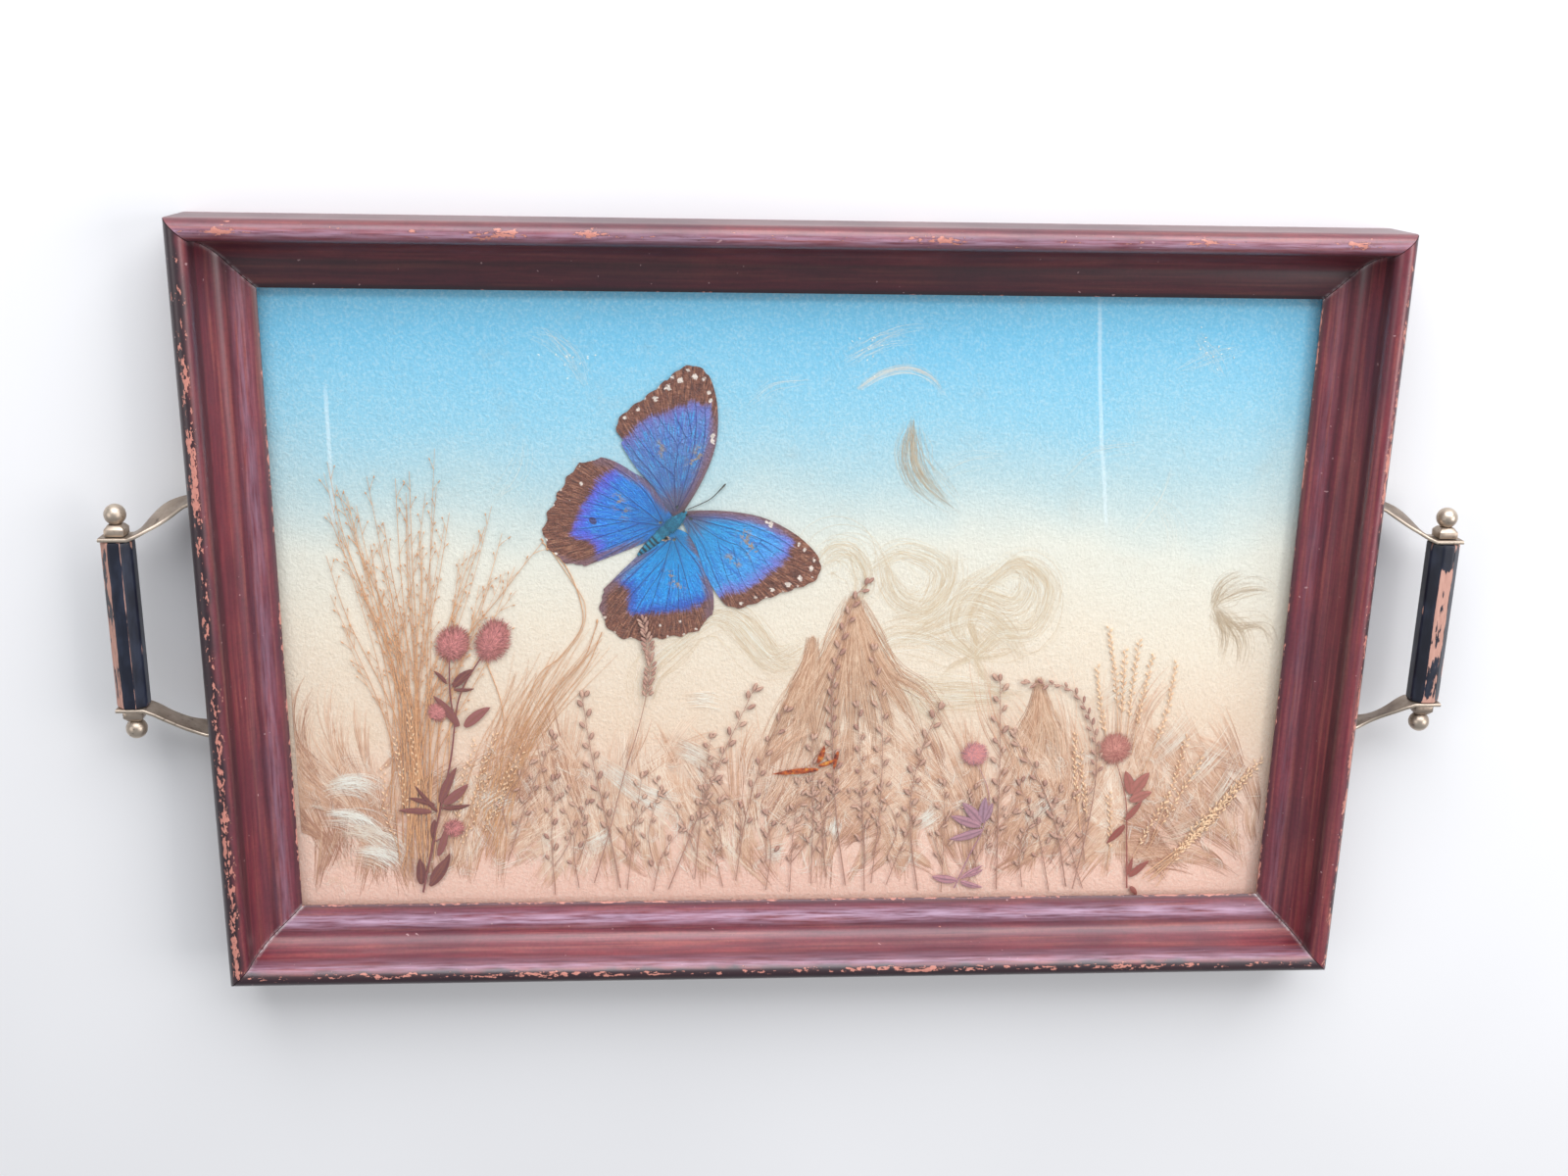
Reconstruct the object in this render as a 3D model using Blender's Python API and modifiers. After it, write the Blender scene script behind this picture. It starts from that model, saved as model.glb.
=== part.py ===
"""Butterfly tray: a morpho butterfly with dried plants and seed down, sealed under glass in a mitred wooden
frame that has a brass and wood handle at each end.

Blender 4.5, metres, +Z up. The tray lies on its back, which is z = 0, with its long side along X and the
picture's upper edge at +Y. The origin is the centre of the back. Sizes below are in millimetres.
"""

import math

import bmesh
import bpy
from mathutils import Matrix, Vector

MM = 0.001
FIT_GAP = 0.3

# Frame
TRAY_LENGTH = 500.0
TRAY_WIDTH = 336.0
TRAY_HEIGHT = 34.0
RAIL_WIDTH = 29.0
BEAD_WIDTH = 9.2
BEAD_RADIUS = 4.6
BEAD_FOOT_Z = 28.6
GROOVE_Z = 29.2
COVE_FOOT = (17.8, 12.8)  # distance in from the outer face, height
SIGHT_EDGE_Z = 10.2
LIP_Z = 9.3
RABBET = 23.0  # distance of the rabbet's wall from the outer face
BACK_CHAMFER = 0.8

# Sheets held in the rabbet: lowest and highest z
SHEET_CLEARANCE = 0.4
GLASS_Z = (7.0, 9.0)
PAPER_Z = (4.3, 4.9)
BOARD_Z = (1.8, 4.0)
BRAD_RADIUS = 0.45
BRAD_LENGTH = 9.0
BRAD_Z = 1.0

# Handles: x is counted outwards from the frame's end face, y from the middle of the handle
GRIP_X = 32.0
GRIP_Z = 22.0
GRIP_HALF_LENGTH = 36.4
GRIP_ACROSS_FLATS = 12.8
GRIP_BORE = 4.6
PLATE_SIDE = 12.4
PLATE_Y = 37.5
FOOT_Z = 13.0
FOOT_WIDTH = 18.0
FOOT_Y = (67.0, 53.4)
ARM_THICKNESS = 1.6
FOOT_X = FIT_GAP + ARM_THICKNESS / 2
ARM_PATH = ((FOOT_X, 51.4), (6.0, 50.2), (12.0, 47.4), (18.0, 43.2), (23.0, 39.4), (26.6, PLATE_Y))
ARM_STEPS = 3
BOLT_RADIUS = 1.7
BOLT_HOLE = 2.1
BOLT_END_Y = 16.0
BLOCK_SIDE = 8.4
BLOCK_TOP_SIDE = 6.2
BLOCK_Y = (38.7, 41.6, 43.4)
BALL_Y = 47.2
BALL_RADIUS = 4.45
SCREW_Y = 60.0
SCREW_Z = (-5.0, 5.0)  # from the middle of the foot
SCREW_RADIUS = 1.2
SCREW_HOLE = 1.6
SCREW_HEAD_RADIUS = 2.7
SCREW_HEAD_HEIGHT = 1.4
SCREW_DEPTH = 9.0
SCREW_POINT = 2.0

# Butterfly: outlines are (outwards, forwards) from the middle of the body
BODY_CENTRE = (-51.3, 40.6)
BODY_ANGLE = 42.4
BODY_FRONT = 6.4
BODY_BACK = -23.0
BODY_HALF_WIDTH = 2.3
BODY_Z = (5.05, 6.85)
WING_THICKNESS = 0.2
FOREWING_Z = 6.15
HINDWING_Z = 5.8
FOREWING = (
    (1, 5), (5, 12.5), (14, 21.5), (25, 29.3), (38, 34), (49, 35.3), (56.3, 34), (60.3, 30), (60.5, 24.5),
    (58, 18), (55, 11), (52, 3), (49, -4.5), (45, -9), (37.5, -9.3), (25, -6.3), (14.5, -1.7), (5, 2),
)
HINDWING = (
    (3, -4), (10, 1.2), (19, 2.2), (28, 1), (36, -1.3), (42.5, -5), (46.2, -11), (46.6, -18), (45, -25),
    (42, -33.5), (39, -41), (33.5, -47.5), (27, -49.7), (20, -49.2), (13, -45), (9.8, -38), (7, -28),
    (4, -18),
)
# name, outline, z, side, swing in degrees about the wing root, root, shift of the root
WINGS = (
    ("wing_fore_upper", FOREWING, FOREWING_Z, -1, 25.5, (1.5, 4.5), (1.7, -1.6)),
    ("wing_fore_right", FOREWING, FOREWING_Z, 1, 0.0, (1.5, 4.5), (0.0, 0.0)),
    ("wing_hind_left", HINDWING, HINDWING_Z, -1, 0.0, (2.5, -3.0), (0.0, 0.0)),
    ("wing_hind_lower", HINDWING, HINDWING_Z, 1, -17.5, (2.5, -3.0), (2.1, -0.3)),
)
ANTENNA = ((-0.6, 7.2), (1.4, 13.0), (2.6, 18.5), (2.0, 27.0))
ANTENNA_Z = 5.9
ANTENNA_RADIUS = 0.22

# Down and silk, laid on the paper: outlines in x, y
DOWN_THICKNESS = 0.22
DOWN_Z = 5.1
UPPER_DOWN_Z = 5.42
DOWN_BED = (
    (-219, -137.5), (219, -137.5), (219, -52), (196, -44), (170, -58), (140, -46), (112, -58), (80, -50),
    (48, -58), (8, -52), (-24, -62), (-60, -46), (-96, -62), (-134, -44), (-172, -62), (-200, -44),
    (-219, -56),
)
DOWN_TENT = ((26, 7), (33, -10), (48, -32), (69, -56), (36, -50), (5, -54), (-6, -42), (6, -16), (16, -18))
DOWN_SWIRLS = (
    (12, 24), (34, 30), (66, 22), (98, 30), (116, 10), (104, -26), (84, -38), (60, -28), (52, 4), (34, 8),
)
SILK_BRUSH = ((50, 87), (56, 76), (66, 58), (77, 43), (68, 44), (53, 54), (46, 70))
SILK_ARC = ((24, 98), (35, 107), (47, 110), (58, 106), (66, 92), (56, 101), (46, 104.6), (36, 102.5))
SILK_TUFT_RIGHT = ((190, 6), (202, 2), (212, -14), (206, -30), (192, -24), (184, -8))
GRASS_SHEAF = (
    (-178, -130), (-160, -130), (-146, -80), (-126, -20), (-107, 33), (-113, 64), (-131, 54), (-152, 76),
    (-170, 62), (-200, 70), (-205, 40), (-203, 8), (-192, -40), (-182, -80),
)
OAT_SPRAY = ((166, -134), (174, -134), (219, -84), (217, -74), (206, -78), (184, -100), (172, -116))
GOLD_PANICLE = ((148, -62), (139, -8), (156, -10), (177, -22), (166, -62))

# Stems: name, z, route in x, y
STEM_RADIUS = 0.2
STEM_STEPS = 3
STEMS = (
    ("seed_stem_by_wing", 6.62, ((-89, -131), (-82, -106), (-75, -78), (-67, -50), (-63, -25), (-66, -4))),
    ("seed_stem_left", 5.95, ((-77, -134), (-82, -105), (-89, -70), (-93, -40))),
    ("seed_stem_middle", 5.95, ((-55, -135), (-44, -105), (-32, -72), (-17, -37))),
    ("seed_stem_tall", 5.95, ((27, -134), (22, -100), (19, -60), (19, -28), (27, 5), (33, 13))),
    ("seed_stem_forked", 5.95, ((61, -137), (57, -112), (56, -89), (60, -66), (67, -46))),
    ("seed_stem_straight", 5.95, ((98, -137), (97, -106), (96, -70), (94, -33))),
    ("seed_stem_leaning", 5.95, ((131, -136), (124, -104), (113, -78), (102, -60))),
    ("seed_stem_arched", 6.62, ((134, -137), (139, -105), (141, -76), (137, -54), (126, -37), (106, -34))),
    ("grass_loop", 5.2, ((-108, 31), (-98, 19), (-92, 4), (-93, -10), (-103, -24), (-118, -44), (-128, -42))),
)

# Clovers: stem and stalk routes, then heads as (x, y, half length, half width, turn), then leaves likewise
CLOVER_STEM_RADIUS = 0.45
CLOVER_Z = 6.2
CLOVER_Z_STEP = 0.017  # each head and leaf lies a little higher than the one before
HEAD_HALF_THICKNESS = 0.58
LEAF_HALF_THICKNESS = 0.3
CLOVERS = {
    "clover_left": (
        (
            ((-167, -135), (-160, -104), (-152, -70), (-147, -40), (-135.5, -19)),
            ((-149, -54), (-151, -38), (-150.5, -20)),
            ((-161.5, -110), (-156, -107), (-152, -104)),
            ((-157.5, -95), (-154, -91), (-150, -86)),
        ),
        ((-131.5, -13.5, 10.5, 6.4, 68), (-149, -15, 7.0, 6.2, 50), (-151.5, -103, 4.6, 4.2, 0)),
        (
            (-144, -32, 8.0, 3.0, 60),
            (-163, -83, 9.5, 3.0, 150),
            (-149, -84, 8.0, 3.0, 40),
            (-161, -124, 8.0, 4.0, 20),
        ),
    ),
    "clover_middle": (
        (((81, -136), (84, -116), (87, -98), (86, -82), (84, -72)),),
        ((84, -68.5, 5.0, 4.6, 0),),
        ((88, -100, 8.0, 6.0, 70), (82, -131, 8.0, 3.4, 0)),
    ),
    "clover_right": (
        (((160, -137), (158, -112), (156, -92), (149.5, -71)),),
        ((149, -67.5, 6.6, 6.2, 90),),
        ((157.5, -84, 6.0, 4.4, 60), (159, -98, 7.5, 3.2, 70), (161.5, -129, 5.0, 2.4, 60)),
    ),
}
AMBER_PETAL = (4.0, -76.0, 9.5, 2.4, 4.0)
AMBER_Z = 6.5

COLOURS = {  # red, green, blue, roughness, metallic
    "frame_wood": (0.14, 0.02, 0.02, 0.35, 0.0),
    "glass": (0.9, 0.95, 0.95, 0.05, 0.0),
    "paper": (0.75, 0.78, 0.72, 0.8, 0.0),
    "board": (0.35, 0.24, 0.15, 0.8, 0.0),
    "steel": (0.5, 0.5, 0.5, 0.4, 1.0),
    "brass": (0.42, 0.34, 0.25, 0.45, 1.0),
    "grip_wood": (0.02, 0.02, 0.03, 0.4, 0.0),
    "wing": (0.03, 0.2, 0.75, 0.4, 0.0),
    "insect_body": (0.03, 0.25, 0.28, 0.6, 0.0),
    "down": (0.8, 0.68, 0.52, 0.9, 0.0),
    "grass": (0.55, 0.36, 0.17, 0.8, 0.0),
    "seed_stem": (0.3, 0.16, 0.13, 0.8, 0.0),
    "clover": (0.35, 0.12, 0.12, 0.85, 0.0),
    "petal": (0.5, 0.15, 0.02, 0.5, 0.0),
}


def clear_scene():
    for obj in list(bpy.data.objects):
        bpy.data.objects.remove(obj, do_unlink=True)


def new_collection(name):
    collection = bpy.data.collections.new(name)
    bpy.context.scene.collection.children.link(collection)
    return collection


def new_material(name):
    red, green, blue, roughness, metallic = COLOURS[name]
    material = bpy.data.materials.new(name)
    material.use_nodes = True
    shader = material.node_tree.nodes["Principled BSDF"]
    shader.inputs["Base Color"].default_value = (red, green, blue, 1.0)
    shader.inputs["Roughness"].default_value = roughness
    shader.inputs["Metallic"].default_value = metallic
    return material


def add_object(name, data, material, collection=None):
    obj = bpy.data.objects.new(name, data)
    (collection or PARTS).objects.link(obj)
    if material:
        data.materials.append(MATERIALS[material])
    return obj


def finish_mesh(name, shape, material, smooth_angle=35.0):
    """Turns a bmesh in millimetres into an object in metres."""
    bmesh.ops.recalc_face_normals(shape, faces=shape.faces)
    if shape.calc_volume(signed=True) < 0:
        bmesh.ops.reverse_faces(shape, faces=shape.faces)
    bmesh.ops.scale(shape, verts=shape.verts, vec=(MM, MM, MM))
    mesh = bpy.data.meshes.new(name)
    shape.to_mesh(mesh)
    shape.free()
    mesh.shade_smooth()
    mesh.set_sharp_from_angle(angle=math.radians(smooth_angle))
    return add_object(name, mesh, material)


def box(shape, low, high):
    """Adds a box between two corners to a bmesh."""
    size = Vector(high) - Vector(low)
    centre = (Vector(high) + Vector(low)) / 2
    matrix = Matrix.Translation(centre) @ Matrix.Diagonal((*size, 1.0))
    return bmesh.ops.create_cube(shape, size=1.0, matrix=matrix)["verts"]


def as_cutter(obj):
    obj.hide_render = True
    obj.display_type = "WIRE"
    PARTS.objects.unlink(obj)
    CUTTERS.objects.link(obj)
    return obj


def combine(target, other, operation="DIFFERENCE"):
    modifier = target.modifiers.new(operation.lower(), "BOOLEAN")
    modifier.operation = operation
    modifier.object = other


def arc(centre, radius, start, end, steps):
    """Points of an arc whose radius may differ along its two axes, with angles in degrees."""
    across, up = radius if isinstance(radius, tuple) else (radius, radius)
    angles = [math.radians(start + (end - start) * i / steps) for i in range(steps + 1)]
    return [(centre[0] + across * math.cos(a), centre[1] + up * math.sin(a)) for a in angles]


# ---- Frame ----


def rail_section():
    """The moulding's outline as (distance in from the outer face, z), from the back outwards and round."""
    bead_height = TRAY_HEIGHT - BEAD_FOOT_Z
    bead = arc((BEAD_RADIUS, BEAD_FOOT_Z), (BEAD_RADIUS, bead_height), 180, 7, 14)
    cove_size = (COVE_FOOT[0] - BEAD_WIDTH, GROOVE_Z - COVE_FOOT[1])
    cove = arc((COVE_FOOT[0], GROOVE_Z), cove_size, 184, 268, 10)
    run = RAIL_WIDTH - COVE_FOOT[0]
    fall = COVE_FOOT[1] - SIGHT_EDGE_Z
    shoulder = [(COVE_FOOT[0] + run * t / 6, COVE_FOOT[1] - fall * (t / 6) ** 2) for t in range(1, 7)]
    back = [(RAIL_WIDTH, LIP_Z), (RABBET, LIP_Z), (RABBET, 0.0), (BACK_CHAMFER, 0.0), (0.0, BACK_CHAMFER)]
    return bead + cove + shoulder + back


def build_rail(name, length, centre, turn):
    """A rail along local X, its outer face at local y = 0, cut to a mitre at each end."""
    shape = bmesh.new()
    ring = [shape.verts.new((0.0, inwards, z)) for inwards, z in rail_section()]
    face = shape.faces.new(ring)
    extruded = bmesh.ops.extrude_face_region(shape, geom=[face])["geom"]
    far_end = {item for item in extruded if isinstance(item, bmesh.types.BMVert)}
    for vert in shape.verts:
        reach = length / 2 - vert.co.y - FIT_GAP * math.sqrt(0.5)
        vert.co.x = reach if vert in far_end else -reach
    rail = finish_mesh(name, shape, "frame_wood")
    rail.location = Vector((*centre, 0.0)) * MM
    rail.rotation_euler.z = math.radians(turn)
    return rail


def build_frame():
    half_length, half_width = TRAY_LENGTH / 2, TRAY_WIDTH / 2
    build_rail("rail_bottom", TRAY_LENGTH, (0, -half_width), 0)
    build_rail("rail_top", TRAY_LENGTH, (0, half_width), 180)
    return {
        -1: build_rail("rail_left", TRAY_WIDTH, (-half_length, 0), -90),
        1: build_rail("rail_right", TRAY_WIDTH, (half_length, 0), 90),
    }


def build_sheet(name, z_range, material):
    half_x = TRAY_LENGTH / 2 - RABBET - SHEET_CLEARANCE
    half_y = TRAY_WIDTH / 2 - RABBET - SHEET_CLEARANCE
    shape = bmesh.new()
    box(shape, (-half_x, -half_y, z_range[0]), (half_x, half_y, z_range[1]))
    return finish_mesh(name, shape, material)


def build_brads():
    """Short pins on the board's back, pointing into the rabbet's wall."""
    rabbet_x = TRAY_LENGTH / 2 - RABBET
    rabbet_y = TRAY_WIDTH / 2 - RABBET
    places = [(side * rabbet_x / 2, end * rabbet_y, 90) for end in (-1, 1) for side in (-1, 1)]
    places += [(side * rabbet_x, 0.0, 0) for side in (-1, 1)]
    for number, (x, y, turn) in enumerate(places, 1):
        shape = bmesh.new()
        bmesh.ops.create_cone(
            shape, cap_ends=True, segments=8, radius1=BRAD_RADIUS, radius2=BRAD_RADIUS, depth=BRAD_LENGTH,
            matrix=Matrix.Rotation(math.radians(90), 4, "Y"),
        )
        brad = finish_mesh(f"brad_{number}", shape, "steel")
        inwards = Vector((-x, -y, 0)).normalized() if turn == 0 else Vector((0, -math.copysign(1, y), 0))
        brad.location = (Vector((x, y, BRAD_Z)) + inwards * (BRAD_LENGTH / 2 + FIT_GAP)) * MM
        brad.rotation_euler.z = math.radians(turn)


# ---- Handles ----


def smooth_route(points, steps):
    """Points along a Catmull-Rom curve through the given ones."""
    points = [Vector(p) for p in points]
    padded = [2 * points[0] - points[1], *points, 2 * points[-1] - points[-2]]
    route = []
    for a, b, c, d in zip(padded, padded[1:], padded[2:], padded[3:]):
        for step in range(steps):
            t = step / steps
            bend = (2 * a - 5 * b + 4 * c - d) * t**2 + (3 * b - a - 3 * c + d) * t**3
            route.append((2 * b + (c - a) * t + bend) / 2)
    return [*route, points[-1]]


def place(side, end, x, y, z):
    """World millimetres of a handle point: side is the tray's end, end is which half of the handle."""
    return Vector((side * (TRAY_LENGTH / 2 + x), end * y, z))


def arm_section(side, end, middle, normal, width, z):
    half = normal * ARM_THICKNESS / 2
    corners = ((middle + half, -1), (middle - half, -1), (middle - half, 1), (middle + half, 1))
    return [place(side, end, *point, z + up * width / 2) for point, up in corners]


def build_bracket(side, end, name):
    """Foot plate on the frame's end, curved arm, and the plate that closes the grip, as one strap."""
    route = [Vector((FOOT_X, y)) for y in FOOT_Y]
    route += smooth_route(ARM_PATH, ARM_STEPS)
    route.append(Vector((GRIP_X + PLATE_SIDE / 2, PLATE_Y)))
    shape = bmesh.new()
    rings = []
    for i, point in enumerate(route):
        ahead = route[min(i + 1, len(route) - 1)] - route[max(i - 1, 0)]
        normal = Vector((-ahead.y, ahead.x)).normalized()
        along = min(max((point.x - FOOT_X) / (ARM_PATH[-1][0] - FOOT_X), 0.0), 1.0)
        ease = along * along * (3 - 2 * along)
        width = FOOT_WIDTH + (PLATE_SIDE - FOOT_WIDTH) * ease
        z = FOOT_Z + (GRIP_Z - FOOT_Z) * ease
        rings.append([shape.verts.new(p) for p in arm_section(side, end, point, normal, width, z)])
    for ring, following in zip(rings, rings[1:]):
        for k in range(4):
            shape.faces.new((ring[k], ring[k - 1], following[k - 1], following[k]))
    shape.faces.new(rings[0])
    shape.faces.new(rings[-1])
    bracket = finish_mesh(name, shape, "brass", 50)
    combine(bracket, bolt_hole(side, end))
    return bracket


def rod(name, side, end, radius, y_range, material=None):
    """A round bar along the grip's axis."""
    shape = bmesh.new()
    middle = place(side, end, GRIP_X, sum(y_range) / 2, GRIP_Z)
    bmesh.ops.create_cone(
        shape, cap_ends=True, segments=12, radius1=radius, radius2=radius, depth=abs(y_range[1] - y_range[0]),
        matrix=Matrix.Translation(middle) @ Matrix.Rotation(math.radians(90), 4, "X"),
    )
    return finish_mesh(name, shape, material)


def bolt_hole(side, end):
    return as_cutter(rod("bolt_hole", side, end, BOLT_HOLE, (PLATE_Y - 4, PLATE_Y + 4)))


def build_grip(side, name):
    shape = bmesh.new()
    radius = GRIP_ACROSS_FLATS / 2 / math.cos(math.pi / 8)
    turn = Matrix.Rotation(math.radians(90), 4, "X") @ Matrix.Rotation(math.pi / 8, 4, "Z")
    bmesh.ops.create_cone(
        shape, cap_ends=True, segments=8, radius1=radius, radius2=radius, depth=2 * GRIP_HALF_LENGTH,
        matrix=Matrix.Translation(place(side, 1, GRIP_X, 0, GRIP_Z)) @ turn,
    )
    grip = finish_mesh(name, shape, "grip_wood", 20)
    reach = GRIP_HALF_LENGTH + 2
    combine(grip, as_cutter(rod("grip_bore", side, 1, GRIP_BORE / 2, (-reach, reach))))
    return grip


def build_finial(side, end, name):
    """A ball on a square block, with the bolt that goes through the plate into the grip."""
    shape = bmesh.new()
    lying = Matrix.Translation(place(side, end, GRIP_X, BALL_Y, GRIP_Z)) @ Matrix.Rotation(math.pi / 2, 4, "X")
    bmesh.ops.create_uvsphere(shape, u_segments=14, v_segments=9, radius=BALL_RADIUS, matrix=lying)
    finial = finish_mesh(name, shape, "brass")
    block = bmesh.new()
    sizes = (BLOCK_SIDE, BLOCK_SIDE, BLOCK_TOP_SIDE)
    rings = []
    for y, size in zip(BLOCK_Y, sizes):
        corners = ((-1, -1), (1, -1), (1, 1), (-1, 1))
        points = [place(side, end, GRIP_X + u * size / 2, y, GRIP_Z + v * size / 2) for u, v in corners]
        rings.append([block.verts.new(p) for p in points])
    for ring, following in zip(rings, rings[1:]):
        for k in range(4):
            block.faces.new((ring[k], ring[k - 1], following[k - 1], following[k]))
    block.faces.new(rings[0])
    block.faces.new(rings[-1])
    combine(finial, as_cutter(finish_mesh("finial_block", block, None)), "UNION")
    bolt = rod("finial_bolt", side, end, BOLT_RADIUS, (BOLT_END_Y, BLOCK_Y[0] + 1.0))
    combine(finial, as_cutter(bolt), "UNION")
    return finial


def screw_shaft(name, side, end, z, radius, x_range):
    shape = bmesh.new()
    middle = place(side, end, sum(x_range) / 2, SCREW_Y, FOOT_Z + z)
    bmesh.ops.create_cone(
        shape, cap_ends=True, segments=10, radius1=radius, radius2=radius, depth=x_range[1] - x_range[0],
        matrix=Matrix.Translation(middle) @ Matrix.Rotation(math.radians(90), 4, "Y"),
    )
    return finish_mesh(name, shape, None)


def build_screw(side, end, z, name):
    """A round-headed wood screw: a turned profile about its own axis, laid along X."""
    seat = FOOT_X + ARM_THICKNESS / 2 + FIT_GAP
    dome = arc((0.0, seat), (SCREW_HEAD_RADIUS, SCREW_HEAD_HEIGHT), 90, 0, 4)
    tip = (0.0, -SCREW_DEPTH)
    profile = [*dome, (SCREW_RADIUS, seat), (SCREW_RADIUS, SCREW_POINT - SCREW_DEPTH), tip]
    mesh = bpy.data.meshes.new(name)
    points = [(radius * MM, 0.0, height * MM) for radius, height in profile]
    mesh.from_pydata(points, [(i, i + 1) for i in range(len(points) - 1)], [])
    screw = add_object(name, mesh, "brass")
    turned = screw.modifiers.new("turned", "SCREW")
    turned.steps = turned.render_steps = 10
    turned.use_merge_vertices = True
    turned.merge_threshold = 0.00005
    screw.location = place(side, end, 0, SCREW_Y, FOOT_Z + z) * MM
    screw.rotation_euler.y = side * math.pi / 2
    return screw


def build_handle(side, rail):
    label = "left" if side < 0 else "right"
    build_grip(side, f"handle_{label}_grip")
    for end, where in ((1, "upper"), (-1, "lower")):
        bracket = build_bracket(side, end, f"handle_{label}_bracket_{where}")
        build_finial(side, end, f"handle_{label}_finial_{where}")
        for number, z in enumerate(SCREW_Z, 1):
            build_screw(side, end, z, f"handle_{label}_screw_{where}_{number}")
            through = screw_shaft("foot_hole", side, end, z, SCREW_HOLE, (-SCREW_DEPTH - FIT_GAP, 4.0))
            combine(bracket, as_cutter(through))
            combine(rail, through)


# ---- Flat pieces under the glass ----


def flat_outline(name, points, z, thickness, material, resolution=2, corners="AUTO"):
    """A thin plate with a closed outline, smooth or with straight sides; z is the middle of its thickness."""
    curve = bpy.data.curves.new(name, "CURVE")
    curve.dimensions = "2D"
    curve.fill_mode = "BOTH"
    curve.extrude = thickness / 2 * MM
    curve.resolution_u = resolution
    spline = curve.splines.new("BEZIER")
    spline.bezier_points.add(len(points) - 1)
    spline.use_cyclic_u = True
    for point, (x, y) in zip(spline.bezier_points, points):
        point.co = (x * MM, y * MM, 0.0)
        point.handle_left_type = point.handle_right_type = corners
    obj = add_object(name, curve, material)
    obj.location.z = z * MM
    return obj


def as_mesh(obj):
    """Replaces a curve object by its welded mesh, so that it can be cut and joined."""
    bpy.context.view_layer.update()
    graph = bpy.context.evaluated_depsgraph_get()
    mesh = bpy.data.meshes.new_from_object(obj.evaluated_get(graph))
    shape = bmesh.new()
    shape.from_mesh(mesh)
    bmesh.ops.remove_doubles(shape, verts=shape.verts, dist=0.00001)
    bmesh.ops.recalc_face_normals(shape, faces=shape.faces)
    shape.to_mesh(mesh)
    shape.free()
    name, matrix = obj.name, obj.matrix_world.copy()
    bpy.data.objects.remove(obj, do_unlink=True)
    solid = bpy.data.objects.new(name, mesh)
    PARTS.objects.link(solid)
    solid.matrix_world = matrix
    return solid


def stem(name, route, z, radius, material):
    """A round stem along a smooth route."""
    curve = bpy.data.curves.new(name, "CURVE")
    curve.dimensions = "3D"
    curve.bevel_depth = radius * MM
    curve.bevel_resolution = 1
    curve.use_fill_caps = True
    points = smooth_route(route, STEM_STEPS)
    spline = curve.splines.new("POLY")
    spline.points.add(len(points) - 1)
    for point, (x, y) in zip(spline.points, points):
        point.co = (x * MM, y * MM, z * MM, 1.0)
    return add_object(name, curve, material)


def pressed_oval(name, x, y, half_length, half_width, turn, z, half_thickness, material):
    shape = bmesh.new()
    bmesh.ops.create_uvsphere(shape, u_segments=10, v_segments=5, radius=1.0)
    matrix = (
        Matrix.Translation((x, y, z))
        @ Matrix.Rotation(math.radians(turn), 4, "Z")
        @ Matrix.Diagonal((half_length, half_width, half_thickness, 1.0))
    )
    bmesh.ops.transform(shape, matrix=matrix, verts=shape.verts)
    return finish_mesh(name, shape, material, 80)


# ---- Butterfly ----


def body_frame(point, side=1):
    """World x, y of a point given as (outwards on that side, forwards) from the middle of the body."""
    angle = math.radians(BODY_ANGLE)
    forwards = Vector((math.cos(angle), math.sin(angle)))
    outwards = Vector((math.sin(angle), -math.cos(angle))) * side
    return Vector(BODY_CENTRE) + outwards * point[0] + forwards * point[1]


def notch(along, centre, width, depth):
    return depth * math.exp(-(((along - centre) / width) ** 2))


def body_shape(name, margin, material):
    """Head, thorax and tapering abdomen as one row of pressed ovals."""
    middle = (BODY_FRONT + BODY_BACK) / 2
    half_length = (BODY_FRONT - BODY_BACK) / 2 + margin
    z = sum(BODY_Z) / 2
    half_z = (BODY_Z[1] - BODY_Z[0]) / 2 + margin
    shape = bmesh.new()
    bmesh.ops.create_uvsphere(shape, u_segments=12, v_segments=16, radius=1.0)
    bmesh.ops.rotate(shape, verts=shape.verts, matrix=Matrix.Rotation(math.pi / 2, 3, "Y"))
    for vert in shape.verts:
        along, across, up = vert.co
        waist = 1.0 - notch(along, 0.22, 0.08, 0.22) - notch(along, 0.72, 0.06, 0.12)
        taper = 0.62 + 0.38 * min(max((along + 0.9) / 1.3, 0.0), 1.0)
        x, y = body_frame((across * (BODY_HALF_WIDTH + margin) * waist * taper, middle + along * half_length))
        vert.co = (x, y, z + up * half_z * waist)
    return finish_mesh(name, shape, material, 80)


def build_wing(name, outline, z, side, swing, root, shift, body_cutter):
    turn = Matrix.Rotation(math.radians(swing), 2)
    root = Vector(root)
    placed = [root + Vector(shift) + turn @ (Vector(point) - root) for point in outline]
    points = [body_frame(point, side) for point in placed]
    wing = as_mesh(flat_outline(name, points, z, WING_THICKNESS, "wing", 3))
    combine(wing, body_cutter)


def build_butterfly():
    body_shape("butterfly_body", 0.0, "insect_body")
    cutter = as_cutter(body_shape("body_clearance", FIT_GAP, None))
    for wing in WINGS:
        build_wing(*wing, cutter)
    route = [body_frame(point) for point in ANTENNA]
    stem("butterfly_antenna", route, ANTENNA_Z, ANTENNA_RADIUS, "insect_body")


# ---- Plants and down ----


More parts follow.
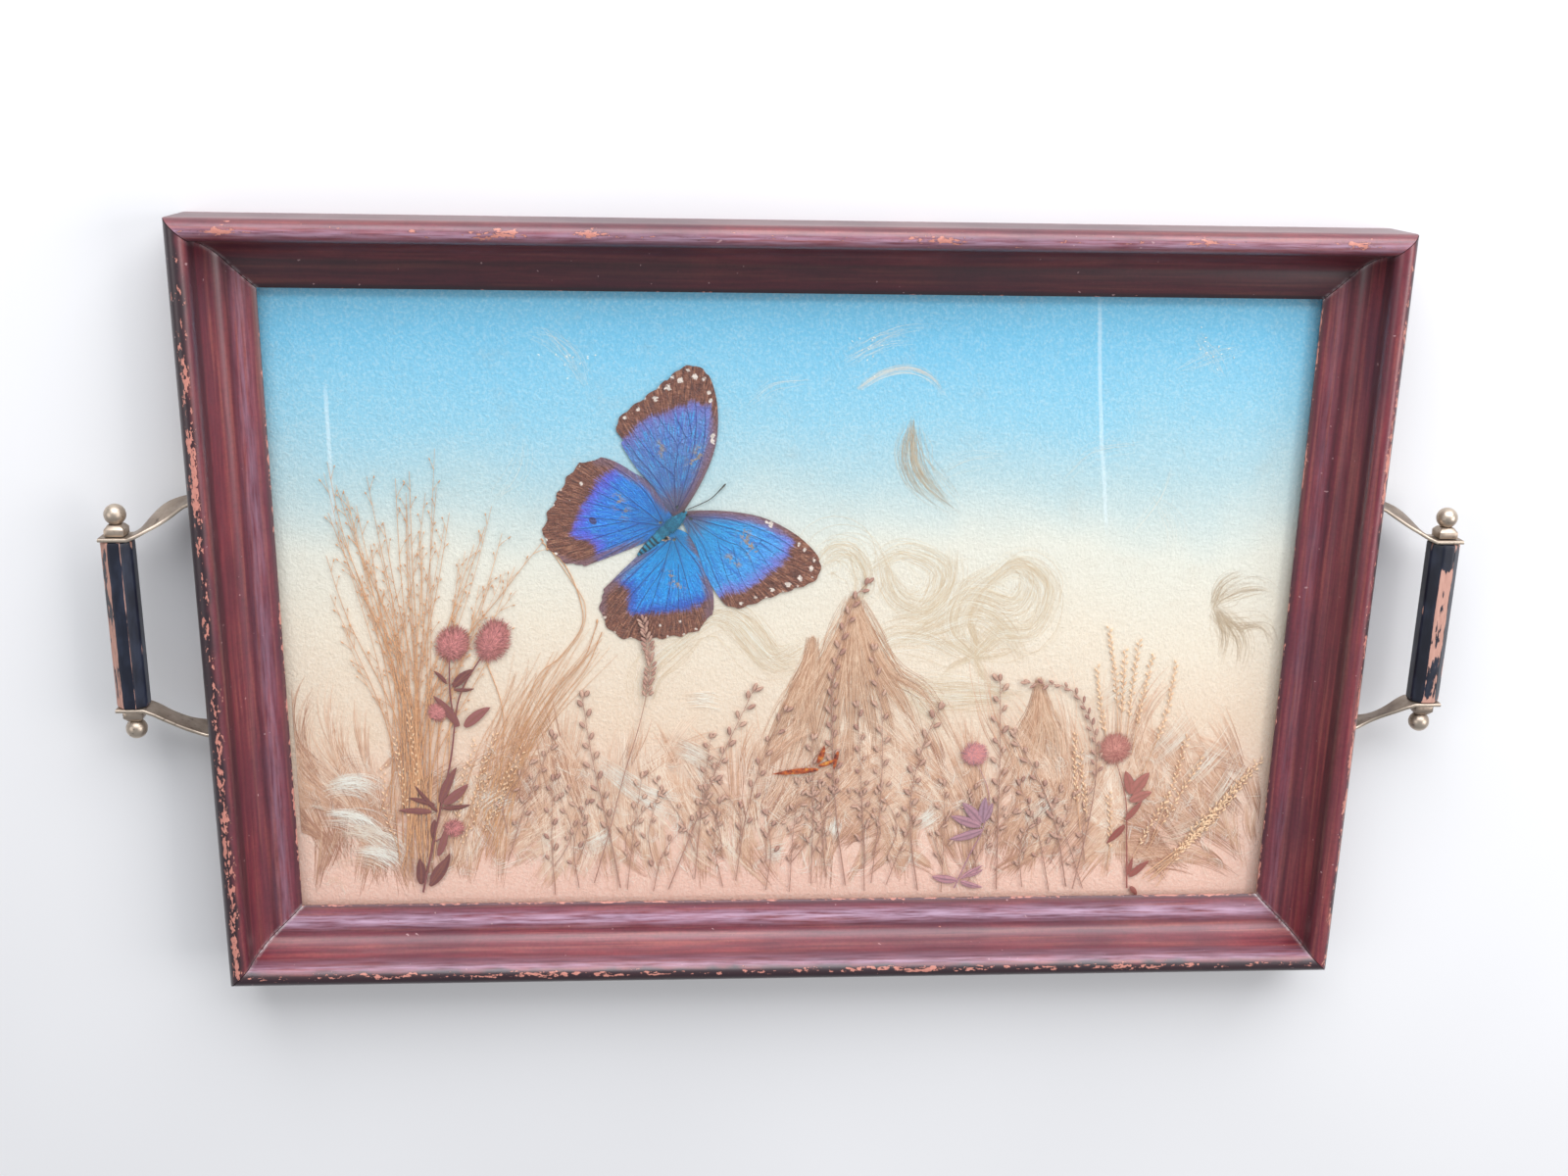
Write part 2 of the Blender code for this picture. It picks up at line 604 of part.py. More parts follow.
def build_clover(name, routes, heads, leaves):
    """Stem, stalks, flower heads and leaves, grown as one plant and pressed flat."""
    plant = as_mesh(stem(name, routes[0], CLOVER_Z, CLOVER_STEM_RADIUS, "clover"))
    for number, route in enumerate(routes[1:], 1):
        z = CLOVER_Z - number * CLOVER_Z_STEP
        stalk = as_mesh(stem(f"{name}_stalk", route, z, CLOVER_STEM_RADIUS, "clover"))
        combine(plant, as_cutter(stalk), "UNION")
    ovals = [(oval, HEAD_HALF_THICKNESS) for oval in heads] + [(oval, LEAF_HALF_THICKNESS) for oval in leaves]
    for number, (oval, half_thickness) in enumerate(ovals, 1):
        z = CLOVER_Z + number * CLOVER_Z_STEP
        part = pressed_oval(f"{name}_oval", *oval, z, half_thickness, None)
        combine(plant, as_cutter(part), "UNION")


def build_plants():
    for name, z, route in STEMS:
        stem(name, route, z, STEM_RADIUS, "grass" if name.startswith("grass") else "seed_stem")
    for name, (routes, heads, leaves) in CLOVERS.items():
        build_clover(name, routes, heads, leaves)
    pressed_oval("amber_petal", *AMBER_PETAL, AMBER_Z, LEAF_HALF_THICKNESS, "petal")
    flat_outline("grass_sheaf", GRASS_SHEAF, UPPER_DOWN_Z, DOWN_THICKNESS, "grass")
    flat_outline("oat_spray", OAT_SPRAY, UPPER_DOWN_Z, DOWN_THICKNESS, "grass")
    flat_outline("gold_panicle", GOLD_PANICLE, UPPER_DOWN_Z, DOWN_THICKNESS, "grass")


def build_down():
    flat_outline("down_bed", DOWN_BED, DOWN_Z, DOWN_THICKNESS, "down", 1, "VECTOR")
    flat_outline("down_tent", DOWN_TENT, UPPER_DOWN_Z, DOWN_THICKNESS, "down")
    flat_outline("down_swirls", DOWN_SWIRLS, DOWN_Z, DOWN_THICKNESS, "down")
    flat_outline("silk_brush", SILK_BRUSH, DOWN_Z, DOWN_THICKNESS, "down")
    flat_outline("silk_arc", SILK_ARC, DOWN_Z, DOWN_THICKNESS, "down")
    flat_outline("silk_tuft_right", SILK_TUFT_RIGHT, DOWN_Z, DOWN_THICKNESS, "down")


clear_scene()
PARTS = new_collection("butterfly_tray")
CUTTERS = new_collection("cutters")
MATERIALS = {name: new_material(name) for name in COLOURS}

end_rails = build_frame()
build_sheet("glass_pane", GLASS_Z, "glass")
build_sheet("backing_paper", PAPER_Z, "paper")
build_sheet("back_board", BOARD_Z, "board")
build_brads()
for tray_side, end_rail in end_rails.items():
    build_handle(tray_side, end_rail)
build_butterfly()
build_down()
build_plants()
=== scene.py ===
"""Looks of the butterfly tray: lacquered frame, brass and wood handles, and the butterfly, dried plants and seed
down under the glass. Lengths are in millimetres until a mesh is made. Blender 4.5, +Z up, the tray on its back.
"""

import itertools
import math

import bpy
import numpy as np
from mathutils import Matrix, Vector


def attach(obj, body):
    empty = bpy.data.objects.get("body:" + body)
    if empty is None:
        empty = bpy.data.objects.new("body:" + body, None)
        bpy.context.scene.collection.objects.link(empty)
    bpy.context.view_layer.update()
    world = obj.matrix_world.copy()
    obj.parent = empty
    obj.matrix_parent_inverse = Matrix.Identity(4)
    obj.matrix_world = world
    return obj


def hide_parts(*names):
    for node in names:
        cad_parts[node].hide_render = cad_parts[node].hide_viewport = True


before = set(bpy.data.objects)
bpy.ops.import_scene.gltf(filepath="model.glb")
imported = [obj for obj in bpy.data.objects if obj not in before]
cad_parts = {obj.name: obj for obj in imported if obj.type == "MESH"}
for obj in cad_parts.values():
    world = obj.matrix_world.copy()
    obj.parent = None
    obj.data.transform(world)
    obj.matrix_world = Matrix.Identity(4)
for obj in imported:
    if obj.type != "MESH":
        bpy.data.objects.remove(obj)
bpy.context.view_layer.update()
MM = 0.001
RNG = np.random.default_rng(11)

TRAY = (500.0, 336.0)


# ---- Numbers and shapes ----


def srgb(red, green, blue):
    """Linear colour of one given in 0 to 255."""
    return tuple(((c / 255 + 0.055) / 1.055) ** 2.4 if c > 10.3 else c / 255 / 12.92 for c in (red, green, blue))


def smooth(x, low, high):
    t = np.clip((np.asarray(x, float) - low) / (high - low), 0, 1)
    return t * t * (3 - 2 * t)


def hump(x, centre, width):
    """A soft bump of height 1."""
    return np.exp(-(((x - centre) / width) ** 2))


def unit(angle):
    return np.array([math.cos(angle), math.sin(angle)])


def turning(angle):
    """The matrix that turns 2-D points by an angle."""
    return np.array([[math.cos(angle), -math.sin(angle)], [math.sin(angle), math.cos(angle)]])


def noise(points, scale, seed=0):
    """Smooth value noise from 0 to 1 at points of 1 to 3 coordinates, its features about scale apart."""
    p = np.atleast_2d(np.asarray(points, float)) / scale
    p = np.hstack([p, np.zeros((len(p), 3 - p.shape[1]))])
    cell = np.floor(p).astype(np.int64)
    part = p - cell
    part = part * part * (3 - 2 * part)
    total = np.zeros(len(p))
    for corner in itertools.product((0, 1), repeat=3):
        at = cell + corner
        h = (at[:, 0] * 374761393 + at[:, 1] * 668265263 + at[:, 2] * 974634777 + seed * 1274126177) & 0xFFFFFFFF
        h = ((h ^ (h >> 13)) * 1274126177) & 0xFFFFFFFF
        h = ((h ^ (h >> 15)) * 668265263) & 0xFFFFFFFF
        weight = np.prod([part[:, k] if corner[k] else 1 - part[:, k] for k in range(3)], axis=0)
        total += weight * ((h ^ (h >> 16)) & 0xFFFF) / 65535
    return total


def curve_through(points, count, closed=False):
    """count points, evenly spaced along a Catmull-Rom curve through the given ones."""
    p = np.asarray(points, float)
    if closed:
        p = np.vstack([p[-1:], p, p[:2]])
    else:
        p = np.vstack([2 * p[0] - p[1], p, 2 * p[-1] - p[-2]])
    t = np.linspace(0, 1, 16, endpoint=False)[:, None]
    fine = [
        0.5 * (2 * b + (c - a) * t + (2 * a - 5 * b + 4 * c - d) * t**2 + (3 * b - a - 3 * c + d) * t**3)
        for a, b, c, d in zip(p, p[1:], p[2:], p[3:])
    ]
    fine = np.vstack([*fine, p[-2][None]])
    length = np.concatenate([[0], np.cumsum(np.linalg.norm(np.diff(fine, axis=0), axis=1))])
    at = np.linspace(0, length[-1], count + 1)[:-1] if closed else np.linspace(0, length[-1], count)
    return np.column_stack([np.interp(at, length, fine[:, k]) for k in range(p.shape[1])])


def distance_to(points, line):
    """Distance of each 2-D point to a polyline."""
    best = np.full(len(points), 1e9)
    for a, b in zip(line, line[1:]):
        a, ab = np.asarray(a, float), np.asarray(b, float) - a
        t = np.clip((points - a) @ ab / max(ab @ ab, 1e-9), 0, 1)
        best = np.minimum(best, np.linalg.norm(points - a - t[:, None] * ab, axis=1))
    return best


def strands(paths, width, height=0.0, sides=2):
    """Flat ribbons (2 sides) or tubes along paths of shape (strands, points, 3), as (points, quads)."""
    paths = np.asarray(paths, float)
    n, m, _ = paths.shape
    width, height = np.broadcast_to(width, (n, m)), np.broadcast_to(height, (n, m))
    ahead = np.gradient(paths, axis=1)
    across = np.stack([-ahead[..., 1], ahead[..., 0], np.zeros((n, m))], -1)
    across /= np.maximum(np.linalg.norm(across, axis=2, keepdims=True), 1e-9)
    turn = 2 * math.pi * np.arange(sides) / sides
    ring = paths[:, :, None] + across[:, :, None] * (width[..., None] * np.cos(turn))[..., None]
    ring[..., 2] += height[..., None] * np.sin(turn)
    start = (np.arange(n)[:, None, None] * m + np.arange(m - 1)[None, :, None]) * sides
    k = np.arange(1 if sides == 2 else sides)
    a, b = start + k, start + (k + 1) % sides
    return ring.reshape(-1, 3), np.stack([a, b, b + sides, a + sides], -1).reshape(-1, 4)


def grid_faces(rows, columns, wrap=False):
    """Quads of a grid of rows x columns points; wrap joins the last column to the first."""
    i = np.arange(rows - 1)[:, None] * columns
    j = np.arange(columns if wrap else columns - 1)[None]
    following = (j + 1) % columns
    return np.stack([i + j, i + following, i + columns + following, i + columns + j], -1).reshape(-1, 4)


def end_caps(rows, columns):
    """The first and the last row of a wrapped grid, each as one face."""
    first = np.arange(columns)[None]
    return [first[:, ::-1], first + (rows - 1) * columns]


class Part:
    """Gathers points in millimetres, faces, and a value for each point, and makes one object of them."""

    def __init__(self):
        self.points, self.faces, self.values, self.count = [], [], [], 0

    def add(self, points, faces, **values):
        points = np.asarray(points, float)
        groups = faces if isinstance(faces, list) else [faces]
        self.faces += [np.asarray(group, int) + self.count for group in groups]
        self.points.append(points)
        self.values.append(values)
        self.count += len(points)
        return self

    def build(self, name, material, slot, replaces=(), sharp=None):
        mesh = bpy.data.meshes.new(name)
        points = np.vstack(self.points)
        mesh.vertices.add(len(points))
        mesh.vertices.foreach_set("co", (points * MM).astype(np.float32).ravel())
        corners = np.concatenate([group.ravel() for group in self.faces]).astype(np.int32)
        sizes = np.concatenate([np.full(len(group), group.shape[1]) for group in self.faces])
        mesh.loops.add(len(corners))
        mesh.loops.foreach_set("vertex_index", corners)
        mesh.polygons.add(len(sizes))
        mesh.polygons.foreach_set("loop_start", (np.cumsum(sizes) - sizes).astype(np.int32))
        mesh.update(calc_edges=True)
        mesh.shade_smooth()
        if sharp:
            mesh.set_sharp_from_angle(angle=math.radians(sharp))
        for key in sorted({k for values in self.values for k in values}):
            blocks = []
            for block, values in zip(self.points, self.values):
                value = np.asarray(values.get(key, 0.0), float)
                vector = value.ndim and value.shape[-1] == 3 and value.ndim == 2
                blocks.append(value if vector else np.broadcast_to(value, (len(block),)))
            data = np.concatenate(blocks).astype(np.float32)
            kind = "FLOAT_VECTOR" if data.ndim == 2 else "FLOAT"
            attribute = mesh.attributes.new(key, kind, "POINT")
            attribute.data.foreach_set("vector" if data.ndim == 2 else "value", data.ravel())
        obj = bpy.data.objects.new(name, mesh)
        bpy.context.scene.collection.objects.link(obj)
        mesh.materials.append(material)
        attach(obj, "root")
        if replaces:
            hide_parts(*replaces)
        return obj


# ---- Materials ----


class Look:
    """A material and short ways to add its nodes. Any input takes a socket or a plain value; three numbers for a
    colour are its sRGB values in 0 to 255, four are linear.
    """

    def __init__(self, name):
        self.material = bpy.data.materials.new(name)
        self.material.use_nodes = True
        self.tree = self.material.node_tree
        self.shader = self.tree.nodes["Principled BSDF"]

    def feed(self, socket, value):
        if isinstance(value, bpy.types.NodeSocket):
            self.tree.links.new(value, socket)
        elif isinstance(value, tuple) and len(value) == 3 and socket.type == "RGBA":
            socket.default_value = (*srgb(*value), 1.0)
        else:
            socket.default_value = value

    def set(self, **values):
        for key, value in values.items():
            self.feed(self.shader.inputs[key.replace("_", " ")], value)
        return self

    def node(self, kind, settings=(), **values):
        node = self.tree.nodes.new("ShaderNode" + kind)
        for key, value in dict(settings).items():
            setattr(node, key, value)
        for key, value in values.items():
            self.feed(node.inputs[key.replace("_", " ")], value)
        return node

    def attribute(self, name, output="Fac"):
        return self.node("Attribute", {"attribute_name": name}).outputs[output]

    def place(self):
        return self.node("TexCoord").outputs["Object"]

    def stretched(self, vector, x, y, z):
        return self.node("Mapping", Vector=vector, Scale=(x, y, z)).outputs[0]

    def noise(self, vector, scale, detail=3.0, rough=0.55, twist=0.0):
        node = self.node("TexNoise", Vector=vector, Scale=scale, Detail=detail, Roughness=rough, Distortion=twist)
        return node.outputs["Fac"]

    def maths(self, operation, a, b=0.0, c=None):
        node = self.node("Math", {"operation": operation})
        self.feed(node.inputs[0], a)
        self.feed(node.inputs[1], b)
        if c is not None:
            self.feed(node.inputs[2], c)
        return node.outputs[0]

    def times(self, a, b):
        return self.maths("MULTIPLY", a, b)

    def plus(self, a, b):
        return self.maths("ADD", a, b)

    def minus(self, a, b):
        return self.maths("SUBTRACT", a, b)

    def times_plus(self, a, b, c):
        return self.maths("MULTIPLY_ADD", a, b, c)

    def span(self, value, low, high, to_low=0.0, to_high=1.0):
        node = self.node("MapRange", {"interpolation_type": "SMOOTHSTEP"}, Value=value)
        for index, number in zip((1, 2, 3, 4), (low, high, to_low, to_high)):
            self.feed(node.inputs[index], number)
        return node.outputs[0]

    def mix(self, share, a, b, blend="MIX"):
        node = self.node("Mix", {"data_type": "RGBA", "blend_type": blend})
        self.feed(node.inputs[0], share)
        self.feed(node.inputs[6], a)
        self.feed(node.inputs[7], b)
        return node.outputs[2]

    def tint(self, colour, tone, value, low, high, share=1.0):
        """Mix up to share of a tone into a colour where value runs from low to high."""
        return self.mix(self.span(value, low, high, 0.0, share), colour, tone)

    def ramp(self, value, *stops):
        node = self.node("ValToRGB", Fac=value)
        elements = node.color_ramp.elements
        while len(elements) < len(stops):
            elements.new(0.5)
        for element, (position, colour) in zip(elements, stops):
            element.position = position
            element.color = (*srgb(*colour), 1.0)
        return node.outputs["Color"]

    def bump(self, height, strength, distance, below=None):
        node = self.node("Bump", Height=height, Strength=strength, Distance=distance * MM)
        if below is not None:
            self.feed(node.inputs["Normal"], below)
        return node.outputs[0]


def frame_look():
    """Dark red lacquer over wood: grain along the rail, chips to bare wood, dull dust in the corners, painted shade and
    a painted lavender highlight.
    """
    look = Look("frame_lacquer")
    rail = look.attribute("rail", "Vector")
    grain = look.noise(look.stretched(rail, 0.03, 0.45, 0.5), 1.0, 5.0, 0.6, 0.4)
    streaks = look.noise(look.stretched(rail, 0.012, 0.5, 1.0), 1.0, 3.0)
    clouds = look.noise(look.place(), 16.0, 3.0)
    fine = look.noise(look.place(), 600.0, 4.0, 0.65)
    colour = look.ramp(grain, (0.3, (90, 28, 40)), (0.5, (110, 38, 50)), (0.72, (132, 54, 58)))
    colour = look.tint(colour, (160, 88, 76), streaks, 0.46, 0.72, 0.55)
    colour = look.tint(colour, (72, 22, 42), clouds, 0.42, 0.68, 0.5)
    colour = look.tint(colour, (34, 12, 20), fine, 0.4, 0.7, 0.22)
    # shade: near-black outer lacquer, partly its own colour and partly painted shade under the bead, with painted shade
    # in the groove, at the sight edge, over the top rail's cove and on a line below the cove
    colour = look.mix(look.attribute("shade"), colour, (22, 13, 22))
    # Painted highlight: pale lavender on the apron and along the bead, broken into patches
    patches = look.noise(look.stretched(rail, 0.05, 0.8, 1.0), 1.0, 3.0, 0.6)
    haze = look.times(look.attribute("haze"), look.span(patches, 0.2, 0.75))
    colour = look.mix(haze, colour, (204, 176, 200))
    broad = look.noise(look.stretched(rail, 0.09, 0.3, 1.0), 1.0, 3.0, 0.6)
    small = look.noise(look.stretched(rail, 0.36, 0.85, 1.0), 1.0, 3.0, 0.6)
    field = look.plus(look.times(small, 0.5), look.times(broad, 0.5))
    field = look.times_plus(look.attribute("wear"), 0.33, field)
    chips = look.span(field, 0.686, 0.698)
    rim = look.span(field, 0.66, 0.686)
    wood = look.mix(look.noise(look.place(), 700.0, 3.0), (206, 140, 124), (158, 94, 82))
    colour = look.mix(look.times(rim, 0.6), colour, (48, 20, 22))
    colour = look.mix(chips, colour, wood)
    pale = look.times(look.attribute("dust"), look.span(fine, 0.35, 0.6))
    colour = look.mix(pale, colour, (196, 188, 188))
    specks = look.span(look.noise(look.place(), 430.0, 1.0), 0.775, 0.79, 0.0, 0.5)
    colour = look.mix(specks, colour, (196, 160, 160))
    rough = look.plus(look.span(clouds, 0.3, 0.7, 0.38, 0.50), look.times(chips, 0.35))
    height = look.minus(look.times(fine, 0.12), chips)
    look.set(Base_Color=colour, Roughness=rough, Normal=look.bump(height, 0.6, 0.2))
    look.set(Specular_IOR_Level=0.5, Coat_Weight=0.5, Coat_Roughness=0.36, Coat_IOR=1.55)
    return look.material


def glass_look():
    """A thin pane: it mirrors by angle and lets the rest through."""
    look = Look("picture_glass")
    look.tree.nodes.remove(look.shader)
    clear = look.node("BsdfTransparent", Color=(0.985, 0.995, 0.99, 1.0)).outputs[0]
    smears = look.noise(look.place(), 14.0, 4.0)
    mirror = look.node("BsdfGlossy", Color=(1.0, 1.0, 1.0, 1.0), Roughness=look.span(smears, 0.4, 0.7, 0.02, 0.07))
    facing = look.node("LayerWeight", Blend=0.5).outputs["Facing"]
    share = look.times_plus(look.maths("POWER", facing, 4.0), 0.8, 0.045)
    mixed = look.node("MixShader")
    look.feed(mixed.inputs[0], share)
    look.feed(mixed.inputs[1], clear)
    look.feed(mixed.inputs[2], mirror.outputs[0])
    look.tree.links.new(mixed.outputs[0], look.tree.nodes["Material Output"].inputs["Surface"])
    return look.material


def paper_look():
    """Airbrushed sky fading to sand and to pink at the foot, on a paper with a fine canvas tooth, and two thin pale
    streaks of painted reflection on the sky.
    """
    look = Look("airbrushed_paper")
    place = look.place()
    height = look.node("SeparateXYZ", Vector=place).outputs["Y"]
    drift = look.noise(place, 9.0, 3.0)
    height = look.times_plus(look.minus(drift, 0.5), 0.05, height)
    step = look.maths("DIVIDE", look.plus(height, 0.145), 0.29)
    stops = (
        (0.00, (238, 190, 172)), (0.12, (240, 198, 178)), (0.30, (233, 206, 182)),
        (0.47, (234, 219, 200)), (0.59, (226, 222, 210)), (0.70, (180, 206, 212)),
        (0.80, (144, 200, 222)), (0.92, (116, 196, 230)), (1.00, (108, 190, 226)),
    )
    colour = look.ramp(step, *stops)
    tooth = look.noise(place, 900.0, 3.0, 0.65)
    weave = look.noise(look.stretched(place, 1.0, 0.55, 1.0), 620.0, 1.0)
    mottle = look.noise(place, 70.0, 3.0)
    colour = look.tint(colour, (255, 252, 244), tooth, 0.42, 0.72, 0.2)
    colour = look.tint(colour, (120, 104, 92), tooth, 0.45, 0.25, 0.1)
    colour = look.tint(colour, (190, 160, 130), mottle, 0.55, 0.8, 0.10)
    across = look.node("SeparateXYZ", Vector=place).outputs["X"]
    # Painted reflection: two thin pale upright streaks of glare on the sky, one of them leaning
    for x, lean, low, high in ((0.1413, 0.111, 0.03, 0.138), (-0.197, 0.0, 0.04, 0.1)):
        aside = look.times_plus(height, lean, look.minus(across, x))
        line = look.span(look.maths("ABSOLUTE", aside), 0.0013, 0.0003, 0.0, 0.4)
        middle, half = (low + high) / 2, (high - low) / 2
        run = look.span(look.maths("ABSOLUTE", look.minus(height, middle)), half, half * 0.7)
        colour = look.mix(look.times(line, run), colour, (236, 246, 250))
    surface = look.plus(tooth, look.times(weave, 0.7))
    look.set(Base_Color=colour, Roughness=0.82, Normal=look.bump(surface, 0.9, 0.36))
    return look.material


def fibre_look(name, low, middle, high, rough=0.55, sheen=0.3):
    """Fine fibres: tone runs from the shadowed root to the pale tip, with a little variation along each."""
    look = Look(name)
    place = look.place()
    tone = look.times_plus(look.minus(look.noise(place, 240.0, 2.0), 0.5), 0.5,
                      look.attribute("tone"))
    colour = look.ramp(tone, (0.0, low), (0.5, middle), (1.0, high))
    height = look.noise(place, 1500.0, 1.0)
    look.set(Base_Color=colour, Roughness=rough, Normal=look.bump(height, 0.3, 0.05))
    look.set(Sheen_Weight=sheen, Sheen_Roughness=0.4)
    return look.material


def plant_look(name, low, high, edge, rough=0.7):
    """Dry stems, pods and leaves: tone picks the colour, edge darkens rims and veins, fine mottling."""
    look = Look(name)
    place = look.place()
    spots = look.noise(place, 700.0, 3.0)
    colour = look.mix(look.attribute("tone"), low, high)
    colour = look.tint(colour, edge, spots, 0.45, 0.75, 0.5)
    colour = look.mix(look.attribute("rim"), colour, edge)
    look.set(Base_Color=colour, Roughness=rough, Normal=look.bump(spots, 0.5, 0.12))
    return look.material


def brass_look():
    """Old brass, browned and dull, brighter where hands rub it."""
    look = Look("aged_brass")
    place = look.place()
    patina = look.noise(place, 60.0, 5.0, 0.6)
    fine = look.noise(place, 420.0, 3.0)
    scratch = look.noise(look.stretched(place, 1.0, 0.12, 1.0), 700.0, 2.0)
    colour = look.ramp(patina, (0.3, (104, 90, 80)), (0.5, (152, 136, 122)), (0.72, (190, 174, 158)))
    colour = look.mix(look.attribute("rub"), colour, (208, 194, 176))
    colour = look.tint(colour, (70, 58, 52), fine, 0.58, 0.75, 0.6)
    rough = look.span(patina, 0.3, 0.7, 0.52, 0.34)
    height = look.plus(fine, look.times(scratch, 0.5))
    look.set(Base_Color=colour, Metallic=0.85, Roughness=rough, Normal=look.bump(height, 0.35, 0.1))
    return look.material


def grip_look():
    """Black paint on a wooden grip, rubbed through to salmon wood on its edges and on one face."""
    look = Look("painted_grip")
    place = look.place()
    along = look.stretched(place, 1.0, 0.16, 1.0)
    fibre = look.noise(along, 620.0, 4.0, 0.6)
    broad = look.noise(look.stretched(place, 1.0, 0.4, 1.0), 150.0, 3.0)
    field = look.plus(look.times(fibre, 0.5), look.times(broad, 0.5))
    field = look.times_plus(look.attribute("wear"), 0.42, field)
    bare = look.span(field, 0.72, 0.75)
    paint = look.tint((16, 20, 34), (36, 42, 58), broad, 0.4, 0.7)
    wood = look.mix(look.noise(along, 900.0, 3.0), (204, 158, 142), (158, 114, 100))
    colour = look.mix(bare, paint, wood)
    rough = look.span(bare, 0.0, 1.0, 0.36, 0.72)
    height = look.minus(look.times(fibre, 0.3), bare)
    look.set(Base_Color=colour, Roughness=rough, Normal=look.bump(height, 0.5, 0.18))
    return look.material


def board_look():
    look = Look("back_board")
    place = look.place()
    fibres = look.noise(look.stretched(place, 0.3, 1.0, 1.0), 260.0, 5.0, 0.65)
    stains = look.noise(place, 14.0, 4.0)
    colour = look.ramp(fibres, (0.3, (116, 84, 56)), (0.7, (158, 122, 86)))
    colour = look.tint(colour, (98, 70, 46), stains, 0.5, 0.75, 0.5)
    look.set(Base_Color=colour, Roughness=0.86, Normal=look.bump(fibres, 0.5, 0.3))
    return look.material


def steel_look():
    look = Look("pin_steel")
    rust = look.noise(look.place(), 900.0, 3.0)
    colour = look.ramp(rust, (0.4, (120, 118, 116)), (0.7, (104, 70, 50)))
    look.set(Base_Color=colour, Metallic=0.8, Roughness=look.span(rust, 0.3, 0.7, 0.35, 0.6))
    return look.material


# ---- Frame ----


def rail_section():
    """The moulding's outline as (distance in from the outer face, z), finely divided, from the bottom outwards."""
    def arc(cx, cz, rx, rz, start, end, steps):
        a = np.radians(np.linspace(start, end, steps + 1))
        return np.column_stack([cx + rx * np.cos(a), cz + rz * np.sin(a)])

    bead = arc(4.6, 28.6, 4.6, 5.39, 180, 7, 22)
    cove = arc(17.8, 29.2, 8.6, 16.4, 184, 268, 26)
    t = np.linspace(0, 1, 11)[1:]
    shoulder = np.column_stack([17.8 + 11.2 * t, 12.8 - 2.6 * t**2])
    shoulder[-1] = (28.75, 10.2)
    side = np.column_stack([np.zeros(9), np.linspace(0.9, 27.6, 9)])
    lip = [(29.0, 10.0), (29.0, 9.5), (28.8, 9.3), (23.2, 9.3), (23.0, 9.1), (23.0, 4.0), (23.0, 0.2), (22.8, 0.0)]
    back = [(15.0, 0.0), (7.0, 0.0), (0.9, 0.0), (0.25, 0.25)]
    return np.vstack([side, bead, cove, shoulder, lip, back])


# What differs from rail to rail. fade: where its dark outer side ends; wear: how worn its bead is, with more at spots
# darkest, groove, cove and line set painted shade on the outer side, in the groove, over the top rail's cove and below
# the cove; the pale lavender shares on the apron and bead are painted highlight
PLAIN_RAIL = {
    "darkest": 0.92, "groove": 0.6, "cove": (0.0, 0.0), "line": 0.36, "haze": 0.0, "bead_painted_highlight": (0.0, 8.6, 0.7),
    "dust": 0.35, "lip_wear": 0.5, "slope": 0.0, "side_wear": (0.0, 10),
}
RAILS = {
    "rail_bottom": {
        "turn": 0, "fade": (8.2, 6.4), "groove": 0.3, "line": 0.24, "haze": 0.8, "bead_painted_highlight": (0.5, 8.6, 0.7),
        "dust": 0.75, "wear": 0.42, "bead": (5.6, 1.9), "side_wear": (0.2, 10),
        "spots": ((-110, 40, 0.16), (60, 30, 0.2), (150, 25, 0.18), (-190, 20, 0.1)),
    },
    "rail_top": {
        "turn": 180, "fade": (3.4, 0.2), "darkest": 0.3, "cove": (0.34, 0.26), "bead_painted_highlight": (0.5, 5.4, 2.0),
        "lip_wear": 0.3, "wear": 0.22, "bead": (4.5, 3.0),
        "spots": ((-226, 8, 0.42), (-120, 10, 0.48), (-84, 7, 0.35), (52, 13, 0.45), (160, 7, 0.35), (226, 8, 0.4)),
    },
    "rail_left": {
        "turn": -90, "fade": (7.8, 5.2), "haze": 0.25, "wear": 0.42, "slope": 0.14, "bead": (4.8, 2.8),
        "side_wear": (0.3, 8), "spots": ((66, 20, 0.3), (108, 10, 0.16), (-70, 50, 0.08)),
    },
    "rail_right": {
        "turn": 90, "fade": (3.4, 1.2), "haze": 0.12, "wear": 0.45, "bead": (2.2, 1.8),
        "spots": ((75, 20, 0.28), (-60, 40, 0.2)),
    },
}
MITRE_GAP = 0.3
SIGHT_EDGE_Z = 9.4
BEAD_FOOT_Z = 24


